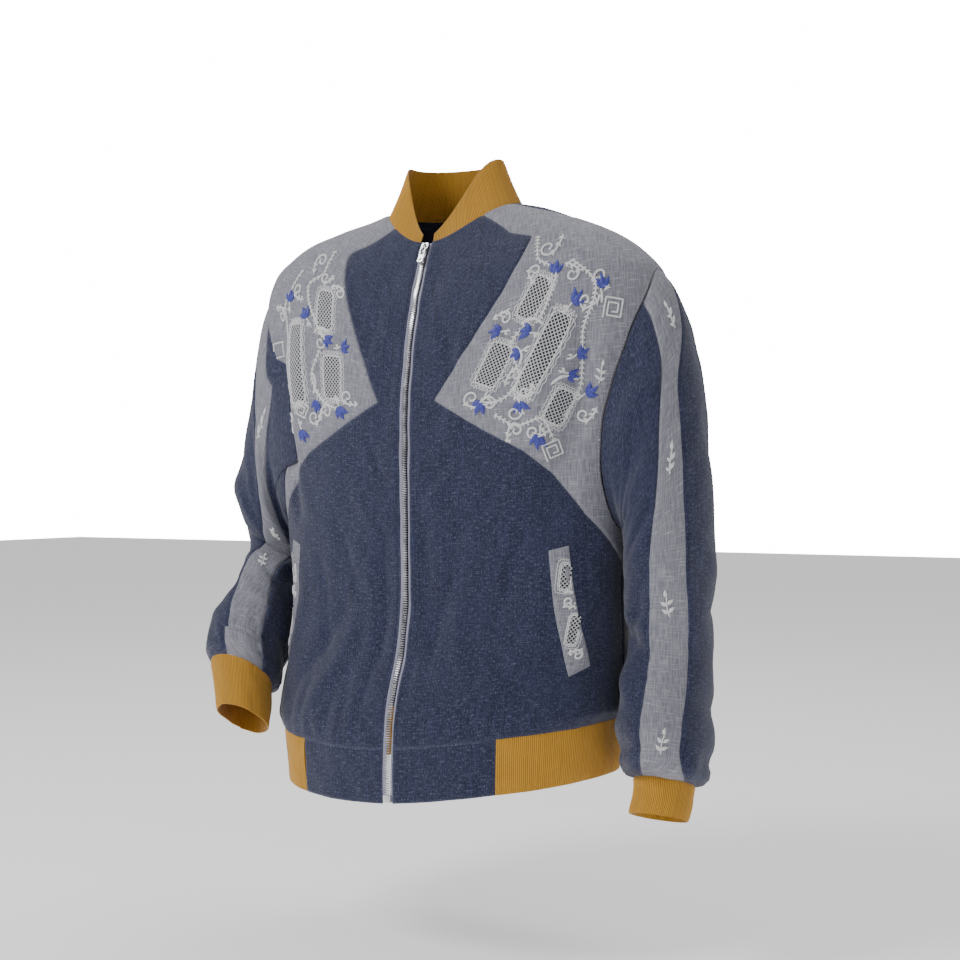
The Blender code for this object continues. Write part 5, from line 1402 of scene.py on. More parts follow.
def cut_sleeve(side):
    word, sleeve, arm = WORDS[side], sleeves[side], armholes[side]
    stripe_end = sleeve.cuff - BLOCK_TALL if side < 0 else sleeve.cuff

    def arm_run(first, last, whole=0):
        turns = [t for t in arm.turns if first - 0.01 <= t <= last + 0.01]
        return moved_uv(arm.run(first, last), [(t - sleeve.first_turn - whole, 0) for t in turns])

    def line(angles, downs, turn):
        made = line_of(sleeve, angles, downs)
        if downs[0] == 0:
            made.points[0] = arm.run(turn, turn).points[0]
        return made

    upper = np.linspace(0, stripe_end, SLEEVE_ROWS)
    front = line(sleeve.stripe_edge(upper, 1), upper, STRIPE_LAST)
    behind = line(sleeve.stripe_edge(upper, -1), upper, STRIPE_FIRST)
    under = line(sleeve.underarm_edge(upper), upper, UNDERARM)
    low = seam(sleeve, [tuple(behind.uv[-1]), tuple(front.uv[-1])])
    stripe = loop_of(arm_run(STRIPE_FIRST, STRIPE_LAST), front, backwards(low), backwards(behind))
    cut("stripe_" + word, sleeve, stripe, GREY)
    if side < 0:
        lower = np.linspace(stripe_end, sleeve.cuff, BLOCK_ROWS)
        edge = behind.uv[-1, 0] - BLOCK_STEP
        block_front = line_of(sleeve, sleeve.stripe_edge(lower, 1), lower)
        block_back = line_of(sleeve, np.full(BLOCK_ROWS, edge), lower)
        step_out = seam(sleeve, [tuple(behind.uv[-1]), (edge, stripe_end)])
        low_edge = seam(sleeve, [tuple(block_back.uv[-1]), tuple(block_front.uv[-1])])
        top = joined(backwards(step_out), low)
        block = loop_of(top, block_front, backwards(low_edge), backwards(block_back))
        cut("block_right", sleeve, block, GREY)
        front, behind = joined(front, block_front), joined(behind, step_out, block_back)
        under = joined(under, line_of(sleeve, sleeve.underarm_edge(lower), lower))
    under_behind = turned(under, -360)
    cuff_front = seam(sleeve, [tuple(front.uv[-1]), tuple(under.uv[-1])])
    cuff_back = seam(sleeve, [tuple(under_behind.uv[-1]), tuple(behind.uv[-1])])
    outline = loop_of(arm_run(STRIPE_LAST, UNDERARM), under, backwards(cuff_front), backwards(front))
    cut("arm_front_" + word, sleeve, outline, DENIM)
    around = arm_run(UNDERARM, 360 + STRIPE_FIRST, 360)
    outline = loop_of(around, behind, backwards(cuff_back), backwards(under_behind))
    cut("arm_back_" + word, sleeve, outline, DENIM, step=HIDDEN_STEP if side > 0 else CLOTH_STEP)
    return dict(front=front, behind=behind, cuff_front=cuff_front, cuff_back=cuff_back, low=low)


sleeve_runs = {side: cut_sleeve(side) for side in (1, -1)}

# %% [markdown]
# ## Rib bands
# Rib knit is made of rounded columns with sharp valleys between them. A band is a grid with a
# fixed number of rows of points to each rib, so every rib is a real shape and not a painted line.

# %% Knit the collar, the cuffs and the hem
RIB_THIN = 1.4 * MM
COLLAR_RIB, CUFF_RIB, HEM_RIB = 1.9 * MM, 1.9 * MM, 2.1 * MM
RIB_PROFILE = (0.0, 0.72, 1.0, 0.72)
RIB_DEEP, RIB_UNEVEN = 0.55 * MM, 0.3


def even_angles(cloth, first, last, down, pitch):
    """Angles that are the same way apart along the cloth, one for each step of the ribs."""
    dense = np.linspace(first, last, 1600)
    line = cloth.point(dense, np.full(len(dense), down))
    far = np.concatenate([[0], np.cumsum(np.linalg.norm(np.diff(line, axis=0), axis=1))])
    ribs = int(round(far[-1] / pitch))
    marks = np.linspace(0, far[-1], ribs * len(RIB_PROFILE) + 1)
    return np.interp(marks, far, dense), marks


def rounded_end(shares):
    """How far a band's edge turns in at its free end, as a share of a rib's depth."""
    return np.clip(1 - (1 - shares) * 9, 0, 1) ** 2


def knit(name, cloth, first, last, downs, pitch, closed, free_edge, tall, seed):
    angles, marks = even_angles(cloth, first, last, downs[0], pitch)
    if closed:
        angles, marks = angles[:-1], marks[:-1]
    columns, rows = len(angles), len(downs)
    draw = np.random.default_rng(seed)
    ribs = -(-columns // len(RIB_PROFILE))
    strength = np.repeat(1 - RIB_UNEVEN * draw.random(ribs), len(RIB_PROFILE))[:columns]
    crest = np.tile(RIB_PROFILE, ribs)[:columns]
    u, v = np.tile(angles, rows), np.repeat(downs, columns)
    points, out = cloth.point(u, v), cloth.normal(u, v)
    shares = np.linspace(0, 1, rows)
    tuck = np.repeat(rounded_end(shares) if free_edge else 0 * shares, columns)
    start = np.repeat(np.exp(-((shares / 0.05) ** 2)), columns)
    raised = RIB_DEEP * np.tile((crest - 0.7) * strength, rows) - (tuck + 0.8 * start) * RIB_DEEP
    outer = points + out * raised[:, None]
    inner = points - out * RIB_THIN
    faces = []
    for row in range(rows - 1):
        for i in range(columns if closed else columns - 1):
            j = (i + 1) % columns
            low, high = row * columns, (row + 1) * columns
            faces.append([low + i, low + j, high + j, high + i])
    a, b, _, d = faces[0]
    if np.cross(points[b] - points[a], points[d] - points[a]) @ out[a] < 0:
        faces = [face[::-1] for face in faces]
    flat = np.stack([np.tile(marks, rows), np.repeat(shares * tall, columns)], axis=1)
    # The crest values also set where the rib finish paints shade in the valleys and highlights on the crests.
    values = {"crest": np.tile(crest * strength, rows)}
    made = make_shell(name, outer, inner, faces, flat, RIB, values)
    wide = float(marks[-1])
    sheets[name] = (made, wide, tall, wide * tall)
    print(name, ribs, "ribs,", round(wide * 1000), "x", round(tall * 1000), "mm")
    return made


BAND_ROWS = 11
COLLAR_FOOT = -0.07
hem_downs = np.linspace(body.hem, body.end, BAND_ROWS)
hem_first, hem_last = runs[1]["band_side"].uv[-1, 0], right_runs["band_side"].uv[-1, 0]
knit("hem_knit", body, hem_first, hem_last, hem_downs, HEM_RIB, False, True, body.end - body.hem, 3)
for side in (1, -1):
    sleeve = sleeves[side]
    cuff_downs = np.linspace(sleeve.cuff, sleeve.end, BAND_ROWS)
    tall = sleeve.end - sleeve.cuff
    knit("cuff_knit_" + WORDS[side], sleeve, -180, 180, cuff_downs, CUFF_RIB, True, True, tall, 5 + side)
collar = Collar(body)
neck = np.linspace(0, 30, 400)
collar_first = float(np.interp(COLLAR_END, body.point(neck, 0 * neck)[:, 0], neck))
collar_shares = np.linspace(COLLAR_FOOT, 1, BAND_ROWS)
collar_ends = (collar_first, 360 - collar_first)
knit("collar_knit", collar, *collar_ends, collar_shares, COLLAR_RIB, False, True, COLLAR_TALL, 9)

# %% [markdown]
# ## One tree that sets pieces along a path
# Teeth, stitches and leaves all repeat along a line. One Geometry Nodes tree turns a line of
# points into a curve, steps along it, and sets a small piece at each step. Each piece stands on
# the direction that its line keeps in the attribute out, and points along the line.

# %% Build the tree and use it
SET_INPUTS = [
    ("Path", "NodeSocketGeometry", None),
    ("Piece", "NodeSocketObject", None),
    ("Spacing", "NodeSocketFloat", 3 * MM),
    ("Smallest", "NodeSocketFloat", 0.9),
    ("Seed", "NodeSocketInt", 4),
    ("Finish", "NodeSocketMaterial", None),
]


def make_set_tree():
    tree = bpy.data.node_groups.new("set along a path", "GeometryNodeTree")
    for name, kind, value in SET_INPUTS:
        socket = tree.interface.new_socket(name, in_out="INPUT", socket_type=kind)
        if value is not None:
            socket.default_value = value
    tree.interface.new_socket("Pieces", in_out="OUTPUT", socket_type="NodeSocketGeometry")

    def node(kind, settings, sockets):
        made = tree.nodes.new(kind)
        for key, value in settings.items():
            setattr(made, key, value)
        for key, value in sockets.items():
            if isinstance(value, bpy.types.NodeSocket):
                tree.links.new(value, made.inputs[key])
            else:
                made.inputs[key].default_value = value
        return made.outputs

    given = node("NodeGroupInput", {}, {})
    curve = node("GeometryNodeMeshToCurve", {}, {"Mesh": given["Path"]})
    spacing = {"Curve": curve[0], "Length": given["Spacing"]}
    steps = node("GeometryNodeResampleCurve", {"mode": "LENGTH"}, spacing)
    out = node("GeometryNodeInputNamedAttribute", {"data_type": "FLOAT_VECTOR"}, {"Name": "out"})
    along = node("GeometryNodeInputTangent", {}, {})
    stood = node("FunctionNodeAlignRotationToVector", {"axis": "Z"}, {"Vector": out[0]})
    settings = {"axis": "Y", "pivot_axis": "Z"}
    turned_to = node("FunctionNodeAlignRotationToVector", settings, {"Rotation": stood[0], "Vector": along[0]})
    piece = node("GeometryNodeObjectInfo", {}, {"Object": given["Piece"]})
    limits = {"Min": given["Smallest"], "Max": 1.0, "Seed": given["Seed"]}
    size = node("FunctionNodeRandomValue", {"data_type": "FLOAT"}, {})
    random_node = size[0].node
    for key, value in (("Min", given["Smallest"]), ("Seed", given["Seed"])):
        socket = [s for s in random_node.inputs if s.name == key and s.enabled][0]
        tree.links.new(value, socket)
    [s for s in random_node.inputs if s.name == "Max" and s.enabled][0].default_value = limits["Max"]
    value_out = [s for s in size if s.enabled][0]
    placing = {"Points": steps[0], "Instance": piece["Geometry"], "Rotation": turned_to[0], "Scale": value_out}
    placed = node("GeometryNodeInstanceOnPoints", {}, placing)
    real = node("GeometryNodeRealizeInstances", {}, {"Geometry": placed[0]})
    finished = node("GeometryNodeSetMaterial", {}, {"Geometry": real[0], "Material": given["Finish"]})
    node("NodeGroupOutput", {}, {"Pieces": finished[0]})
    return tree


SET_TREE = make_set_tree()


def path_mesh(name, lines):
    """Lines of points as one mesh of edges. Each line is its points and the way out at each."""
    points, outs, edges = [], [], []
    for line, out in lines:
        start = len(points)
        points += list(line)
        outs += list(out)
        edges += [(start + i, start + i + 1) for i in range(len(line) - 1)]
    mesh = bpy.data.meshes.new(name)
    mesh.from_pydata([tuple(p) for p in points], edges, [])
    layer = mesh.attributes.new("out", "FLOAT_VECTOR", "POINT")
    layer.data.foreach_set("vector", np.array(outs, np.float32).ravel())
    made = bpy.data.objects.new(name, mesh)
    bpy.context.collection.objects.link(made)
    return made


def set_along(name, lines, piece, spacing, finish, smallest=0.9, seed=4):
    """A plain mesh of small pieces set along lines."""
    path = path_mesh(name + "_path", lines)
    modifier = path.modifiers.new("set", "NODES")
    modifier.node_group = SET_TREE
    values = dict(Piece=piece, Spacing=spacing, Smallest=smallest, Seed=seed, Finish=finish)
    for socket in SET_TREE.interface.items_tree:
        if socket.name in values:
            modifier[socket.identifier] = values[socket.name]
    ready = path.evaluated_get(bpy.context.evaluated_depsgraph_get())
    made = bpy.data.objects.new(name, bpy.data.meshes.new_from_object(ready))
    made.data.name = name
    bpy.data.objects.remove(path)
    bpy.context.collection.objects.link(made)
    print(name, len(mesh_faces(made)), "faces")
    return made


def small_piece(name, build):
    """A mesh to repeat, kept out of the picture."""
    mesh = bpy.data.meshes.new(name)
    build(mesh)
    made = bpy.data.objects.new(name, mesh)
    bpy.context.collection.objects.link(made)
    return made


def forget(thing):
    bpy.data.objects.remove(thing)


# %% [markdown]
# ## Zip
# The tapes lie behind the edges of the fronts. Each metal tooth is clamped on one tape's edge and
# reaches past the middle, and the two rows are half a step apart, so they lock.

# %% Tapes and teeth
TOOTH_PITCH = 2.5 * MM
TOOTH = dict(wide=3.5 * MM, tall=1.45 * MM, thick=2.3 * MM, head=0.75)
TOOTH_ROW_X, TOOTH_SINK = 0.85 * MM, 1.1 * MM
TAPE_THIN = 0.8 * MM


def tape_outline(side):
    seams = runs[side]
    downs = np.concatenate([seams["centre"].uv[:, 1], seams["band_centre"].uv[1:, 1]])
    downs[[0, -1]] += [1 * MM, -1 * MM]
    near = line_of(body, body.angle_at_x(downs, side * (CHAIN_HALF + REST_GAP / 2)), downs)
    far = line_of(body, body.angle_at_x(downs, side * TAPE_EDGE), downs)
    top = seam(body, [tuple(far.uv[0]), tuple(near.uv[0])])
    low = seam(body, [tuple(near.uv[-1]), tuple(far.uv[-1])])
    return loop_of(near, low, backwards(far), top)


def tooth_shape(mesh):
    """A block with rounded long edges, a little narrower at the head."""
    wide, tall, thick = (TOOTH[key] / 2 for key in ("wide", "tall", "thick"))
    ring = [(-1, -0.55), (-0.6, -1), (0.6, -1), (1, -0.55), (1, 0.55), (0.6, 1), (-0.6, 1), (-1, 0.55)]
    stations = [(-wide, 0.8), (-wide * 0.6, 1.0), (wide * 0.5, 1.0), (wide, TOOTH["head"])]
    points = [(x, tall * size * a, thick * size * b) for x, size in stations for a, b in ring]
    faces = []
    for row in range(len(stations) - 1):
        for i in range(8):
            j = (i + 1) % 8
            faces.append((row * 8 + i, row * 8 + j, row * 8 + 8 + j, row * 8 + 8 + i))
    faces += [tuple(reversed(range(8))), tuple(range(24, 32))]
    mesh.from_pydata(points, [], faces)


def mirrored(build):
    def made(mesh):
        build(mesh)
        for vertex in mesh.vertices:
            vertex.co.x = -vertex.co.x
        mesh.flip_normals()

    return made


zip_downs = np.arange(ZIP_TOP_DOWN, body.end - BOX_END - BOX_TALL, TOOTH_PITCH / 2)
teeth = []
for side in (1, -1):
    word = WORDS[side]
    cut("tape_" + word, body, tape_outline(side), TAPE, lift=-TAPE_BEHIND, thin=TAPE_THIN)
    downs = zip_downs[1:] if side > 0 else zip_downs
    x = side * TOOTH_ROW_X
    points, out = body.point(body.angle_at_x(downs, x), downs), body.normal(body.angle_at_x(downs, x), downs)
    shape = small_piece("tooth", mirrored(tooth_shape) if side > 0 else tooth_shape)
    lines = [(points - out * TOOTH_SINK, out)]
    teeth.append(set_along("teeth_" + word, lines, shape, TOOTH_PITCH, METAL, smallest=0.98))
    forget(shape)

# %% [markdown]
# ## Topstitching
# Rows of stitches in thread of the cloth's own colour hold the seam allowances down. They run a
# few millimetres beside the seams, and two rows run along the zip. Each stitch is a small swell
# of thread that dips at its ends.

# %% Sew the rows
STITCH = dict(long=2.5 * MM, wide=0.62 * MM, tall=0.42 * MM)
STITCH_PITCH = 3.3 * MM
STITCH_LIFT = 0.12 * MM
NEAR_ROW, FAR_ROW, BAND_ROW = 2.8 * MM, 9.0 * MM, 3.6 * MM


def beside(cloth, run, gap, piece):
    """A row beside a seam, on the side where the piece lies, with its way out."""
    flat, within = cloth.flat(run.uv), outlines[piece]
    ahead = np.gradient(flat, axis=0)
    ahead /= np.linalg.norm(ahead, axis=1)[:, None]
    square = np.stack([-ahead[:, 1], ahead[:, 0]], axis=1)
    middle = len(flat) // 2
    sign = 1 if inside(within, (flat + square * gap)[middle : middle + 1])[0] else -1
    row = flat + square * gap * sign
    row = row[inside(within, row) & (clearance(within, row) > 0.9 * gap)]
    return on_cloth(cloth, row, STITCH_LIFT + float(edge_roll(np.array([gap]))[0]))


def on_cloth(cloth, places, lift):
    """Points over flat places, this far off the cloth, and the way out at each."""
    uv = cloth.unflat(places)
    out = cloth.normal(*uv.T)
    return cloth.point(*uv.T) + out * lift, out


def stitch_shape(mesh):
    half = np.array([STITCH["wide"], STITCH["long"], STITCH["tall"]]) / 2
    points, faces = [(0, -1, -0.5)], []
    for y, size in ((-0.6, 0.8), (0, 1), (0.6, 0.8)):
        points += [(cos(radians(a)) * size, y, sin(radians(a)) * size) for a in (0, 90, 180, 270)]
    points.append((0, 1, -0.5))
    for i in range(4):
        j = (i + 1) % 4
        faces += [(0, 1 + j, 1 + i), (13, 9 + i, 9 + j)]
        faces += [(1 + i + row, 1 + j + row, 5 + j + row, 5 + i + row) for row in (0, 4)]
    mesh.from_pydata([tuple(np.array(p) * half) for p in points], [], faces)
    mesh.flip_normals()
    mesh.shade_smooth()


def denim_rows(side):
    seams, arm, sleeve, word = runs[side], sleeve_runs[side], sleeves[side], WORDS[side]
    front, band = "front_" + word, "band_" + word
    rows = [beside(body, seams["centre"], gap, front) for gap in (NEAR_ROW, FAR_ROW)]
    rows += [beside(body, seams["band_centre"], gap, band) for gap in (NEAR_ROW, FAR_ROW)]
    for key in ("neck_front", "insert_front", "insert_lower"):
        rows.append(beside(body, seams[key], NEAR_ROW, front))
    rows += [beside(body, joined(seams["hem_band"], seams["hem_rest"]), BAND_ROW, front)]
    rows += [beside(body, seams["hem_band"], BAND_ROW, band), beside(body, seams["band_low"], BAND_ROW, band)]
    rows += [beside(sleeve, arm["cuff_front"], BAND_ROW, "arm_front_" + word)]
    rows += [beside(sleeve, arm["cuff_back"], BAND_ROW, "arm_back_" + word)]
    return rows


def grey_rows(side):
    seams, word = runs[side], WORDS[side]
    arm = armholes[side].run(0, UNDERARM)
    rows = [beside(body, joined(seams["shoulder_in"], seams["shoulder_out"]), NEAR_ROW, "chest_piece_" + word)]
    rows += [beside(body, arm, NEAR_ROW, "chest_piece_" + word)]
    rows += [beside(body, seams["back_edge"], NEAR_ROW, "shoulder_piece_" + word)]
    return rows


back_rows = [beside(body, back_hem(), BAND_ROW, "back"), beside(body, back_neck(body), NEAR_ROW, "back")]
for side in (1, -1):
    runs_here = runs[1] if side > 0 else right_runs
    back_rows += [beside(body, runs_here[key], NEAR_ROW, "back") for key in ("back_edge", "back_lower")]
stitch = small_piece("stitch", stitch_shape)
stitches = {
    side: set_along("stitches_" + WORDS[side], denim_rows(side), stitch, STITCH_PITCH, NAVY_THREAD)
    for side in (1, -1)
}
pale_stitches = {
    side: set_along("grey_stitches_" + WORDS[side], grey_rows(side), stitch, STITCH_PITCH, GREY_THREAD)
    for side in (1, -1)
}
back_stitches = set_along("stitches_back", back_rows, stitch, STITCH_PITCH, NAVY_THREAD)

# %% [markdown]
# ## Needlework
# The grey pieces carry flower and scroll needlework: small openwork panes edged with couched
# cord, white scrolls with leaves, and blue three-petalled flowers. Every strand is one tube whose
# width and height change along it, so a cord, a leaf and a petal are all made by one function.
# The layout is a short table of motifs for each side.

# %% Strands of thread
STRAND_SIDES = 7
STRAND_STEP = 0.9 * MM
SEAM_FREE = 1.2 * MM


class Strands:
    """Strands laid on one sheet, gathered by their thread."""

    def __init__(self, cloth, piece, base=0.0):
        self.cloth, self.within, self.base = cloth, outlines[piece], base
        self.points, self.faces = {}, {}

    def sewn(self, path):
        """The part of a path that lies on the piece, whose seams cut through the rest."""
        kept = inside(self.within, path) & (clearance(self.within, path) > SEAM_FREE)
        changes = np.flatnonzero(np.diff(np.concatenate([[False], kept, [False]]).astype(int)))
        spans = sorted(zip(changes[::2], changes[1::2]), key=lambda span: span[0] - span[1])
        return slice(*spans[0]) if spans else slice(0, 0)

    def lay(self, thread, path, wide, tall, lift=0.0):
        """A strand along flat places. wide and tall are its half sizes, even or one for each."""
        path = np.array(path, float)
        wide, tall = np.broadcast_to(wide, len(path)), np.broadcast_to(tall, len(path))
        kept = self.sewn(path)
        path, wide, tall = path[kept], wide[kept], tall[kept]
        if len(path) < 3:
            return
        uv = self.cloth.unflat(path)
        centre, out = self.cloth.point(*uv.T), self.cloth.normal(*uv.T)
        along = np.gradient(centre, axis=0)
        along /= np.linalg.norm(along, axis=1)[:, None]
        aside = np.cross(along, out)
        centre = centre + out * (self.base + lift + 0.4 * tall)[:, None]
        rings = []
        for i in range(STRAND_SIDES):
            turn = 2 * pi * i / STRAND_SIDES
            rings.append(centre + aside * (wide * cos(turn))[:, None] + out * (tall * sin(turn))[:, None])
        points = np.stack(rings, axis=1).reshape(-1, 3)
        known = self.points.setdefault(thread, [])
        faces = self.faces.setdefault(thread, [])
        start = sum(len(block) for block in known)
        known.append(points)
        n = STRAND_SIDES
        for row in range(len(path) - 1):
            for i in range(n):
                j, low = (i + 1) % n, start + row * n
                faces.append((low + i, low + j, low + n + j, low + n + i))
        faces.append(tuple(reversed(range(start, start + n))))
        last = start + (len(path) - 1) * n
        faces.append(tuple(range(last, last + n)))

    def make(self, name):
        """One mesh for each thread."""
        made = []
        for thread, blocks in self.points.items():
            mesh = bpy.data.meshes.new(f"{name}_{thread.name}")
            mesh.from_pydata(np.concatenate(blocks).tolist(), [], self.faces[thread])
            mesh.flip_normals()
            mesh.shade_smooth()
            mesh.materials.append(thread)
            thing = bpy.data.objects.new(mesh.name, mesh)
            bpy.context.collection.objects.link(thing)
            made.append(thing)
            print(thing.name, len(mesh.polygons), "faces")
        return made


def steps_for(long):
    return max(4, int(ceil(long / STRAND_STEP)))


def pointed(count, width):
    """Half widths of a leaf or petal, narrow at both ends."""
    share = np.linspace(0, 1, count)
    return width * np.maximum(np.sin(pi * share**0.8), 0.12)


def tapered(count, width):
    """Half widths of a cord with soft ends."""
    share = np.linspace(0, 1, count)
    return width * np.clip(np.minimum(share, 1 - share) * count / 3, 0.35, 1)


# %% [markdown]
# ### Motifs
# Each motif is drawn round its own middle, in millimetres, and then turned and set down on the
# flat sheet. A pane is an oblong with wavy cords round it. A scroll winds in on
# itself with pairs of leaves along its tail, and a flower is three petals on a short stem.

# %% Draw one of each motif
PANE_CORD, PANE_EDGE = 0.75 * MM, 1.9 * MM
SCROLL_CORD, VINE_CORD = 1.2 * MM, 0.95 * MM
LEAF_LONG, LEAF_WIDE, LEAF_TALL = 6.6 * MM, 1.7 * MM, 0.9 * MM
PANE_CORDS = (
    (0.2 * MM, 0, PANE_CORD),
    (PANE_EDGE, 22, PANE_CORD * 0.8),
    (PANE_EDGE * 2.4, 34, PANE_CORD * 0.6),
)
PANE_SQUARE = 6.0
PANE_LIFT, PANE_THIN, PANE_STEP = 0.5 * MM, 0.4 * MM, 2.6 * MM


def turned_places(places, tilt, at):
    turn = radians(tilt)
    spin = np.array([[cos(turn), sin(turn)], [-sin(turn), cos(turn)]])
    return np.array(places, float) @ spin + at


def curve_from(stops, long_step=STRAND_STEP):
    """A smooth line through stops on the flat sheet."""
    stops = np.array(stops, float)
    far = np.concatenate([[0], np.cumsum(np.linalg.norm(np.diff(stops, axis=0), axis=1))])
    marks = np.linspace(0, far[-1], steps_for(far[-1]))
    return Curves(far, stops).at(marks)


def lay_leaf(strands, thread, at, tilt, size=1.0, wide=LEAF_WIDE):
    share = np.linspace(0, 1, 8)
    path = np.stack([LEAF_LONG * size * share, 0.12 * LEAF_LONG * np.sin(pi * share)], axis=1)
    half = pointed(8, wide * size)
    strands.lay(thread, turned_places(path, tilt, at), half, half * LEAF_TALL / LEAF_WIDE)


def lay_scroll(strands, at, size, tilt, turns=1.25, hand=1):
    """A scroll and its tail, with three pairs of leaves."""
    radius = size * MM / 2
    angle = np.linspace(0, 2 * pi * turns, steps_for(radius * 2 * pi * turns * 0.6))
    reach = radius * (1 - angle / angle[-1] * 0.86)
    coil = np.stack([reach * np.cos(angle), hand * reach * np.sin(angle)], axis=1)
    tail = np.array([(1.0, -1.9), (1.12, -1.1), (1.08, -0.5)]) * [radius, hand * radius]
    path = curve_from(np.concatenate([tail, coil[::2]]))
    placed = turned_places(path, tilt, at)
    strands.lay(WHITE_THREAD, placed, tapered(len(path), SCROLL_CORD), tapered(len(path), SCROLL_CORD * 0.9))
    for share in (0.06, 0.2, 0.36):
        spot = int(share * len(placed))
        ahead = placed[spot + 1] - placed[spot]
        way = np.degrees(np.arctan2(-ahead[1], ahead[0]))
        for side in (42, -42):
            lay_leaf(strands, WHITE_THREAD, placed[spot], -way + side, 0.8)


def lay_flower(strands, at, size, tilt):
    """Three blue petals that open like a tulip, on a white stem with two leaves."""
    for spread, long in ((-38, 0.92), (38, 0.92), (0, 1.0)):
        share = np.linspace(0, 1, 10)
        path = np.stack([size * MM * long * share, 0.1 * size * MM * np.sin(pi * share)], axis=1)
        half = pointed(10, 0.21 * size * MM)
        lift = 0.3 * MM if spread == 0 else 0.0
        strands.lay(BLUE_THREAD, turned_places(path, tilt + spread, at), half, half * 0.42, lift)
    stem = np.array([(0, 0), (-0.35, 0.06), (-0.8, 0.02)]) * size * MM
    path = turned_places(curve_from(stem), tilt, at)
    strands.lay(WHITE_THREAD, path, VINE_CORD, VINE_CORD)
    for side in (150, 210):
        lay_leaf(strands, WHITE_THREAD, turned_places([(-0.3 * size * MM, 0)], tilt, at)[0], tilt + side, 0.85)


def lay_arc(strands, at, size, tilt, wide=1.5):
    share = np.linspace(-0.5, 0.5, steps_for(size * MM * 1.1))
    path = np.stack([size * MM * share, -0.22 * size * MM * np.cos(pi * share)], axis=1)
    half = tapered(len(path), wide * MM)
    strands.lay(WHITE_THREAD, turned_places(path, tilt, at), half, half * 0.55)


def lay_square(strands, at, size, tilt):
    """A winding line with square turns."""
    outer_turn = [(-1, 1), (-1, -1), (1, -1), (1, 0.7)]
    stops = outer_turn + [(-0.6, 0.7), (-0.6, -0.55), (0.55, -0.55), (0.55, 0.3), (-0.1, 0.3)]
    stops = turned_places(np.array(stops) * size * MM / 2, tilt, at)
    path = [stops[0]]
    for a, b in zip(stops[:-1], stops[1:]):
        count = steps_for(float(np.linalg.norm(b - a)))
        path += [a + (b - a) * i / count for i in range(1, count + 1)]
    strands.lay(WHITE_THREAD, path, VINE_CORD, VINE_CORD)


def lay_sprig(strands, at, size, tilt):
    """A small white sprig: a short stem with four leaves and a bud."""
    stem = turned_places(np.array([(0, 0.5), (0.06, 0), (0, -0.5)]) * size * MM, tilt, at)
    strands.lay(WHITE_THREAD, curve_from(stem), VINE_CORD * 0.8, VINE_CORD * 0.8)
    for place, side in ((0.3, 35), (0.3, 145), (-0.1, 35), (-0.1, 145), (-0.5, 90)):
        spot = turned_places([(0, place * size * MM)], tilt, at)[0]
        lay_leaf(strands, WHITE_THREAD, spot, -side + tilt, size / 17)


def pane_outline(at, wide, tall, tilt, grow=0.0, waves=0):
    """An oblong with soft corners, as flat places all round it."""
    count = steps_for((wide + tall) * 2 * MM)
    angle = np.linspace(0, 2 * pi, count, endpoint=False)
    square = PANE_SQUARE
    reach = (np.abs(np.cos(angle)) ** square + np.abs(np.sin(angle)) ** square) ** (-1 / square)
    wave = 1 + 0.05 * np.sin(angle * waves) if waves else 1
    y = (tall / 2 * MM + grow) * reach * np.sin(angle) * wave
    x = (wide / 2 * MM + grow) * reach * np.cos(angle) * wave
    return turned_places(np.stack([x, y], axis=1), tilt, at)


print("motifs ready")

# %% [markdown]
# ### Layout
# A place is given as an angle round the trunk and a way down it. The panes stand in a loose
# column over the chest, with scrolls and flowers between them, and the same kinds of motif
# carry on over the shoulder.

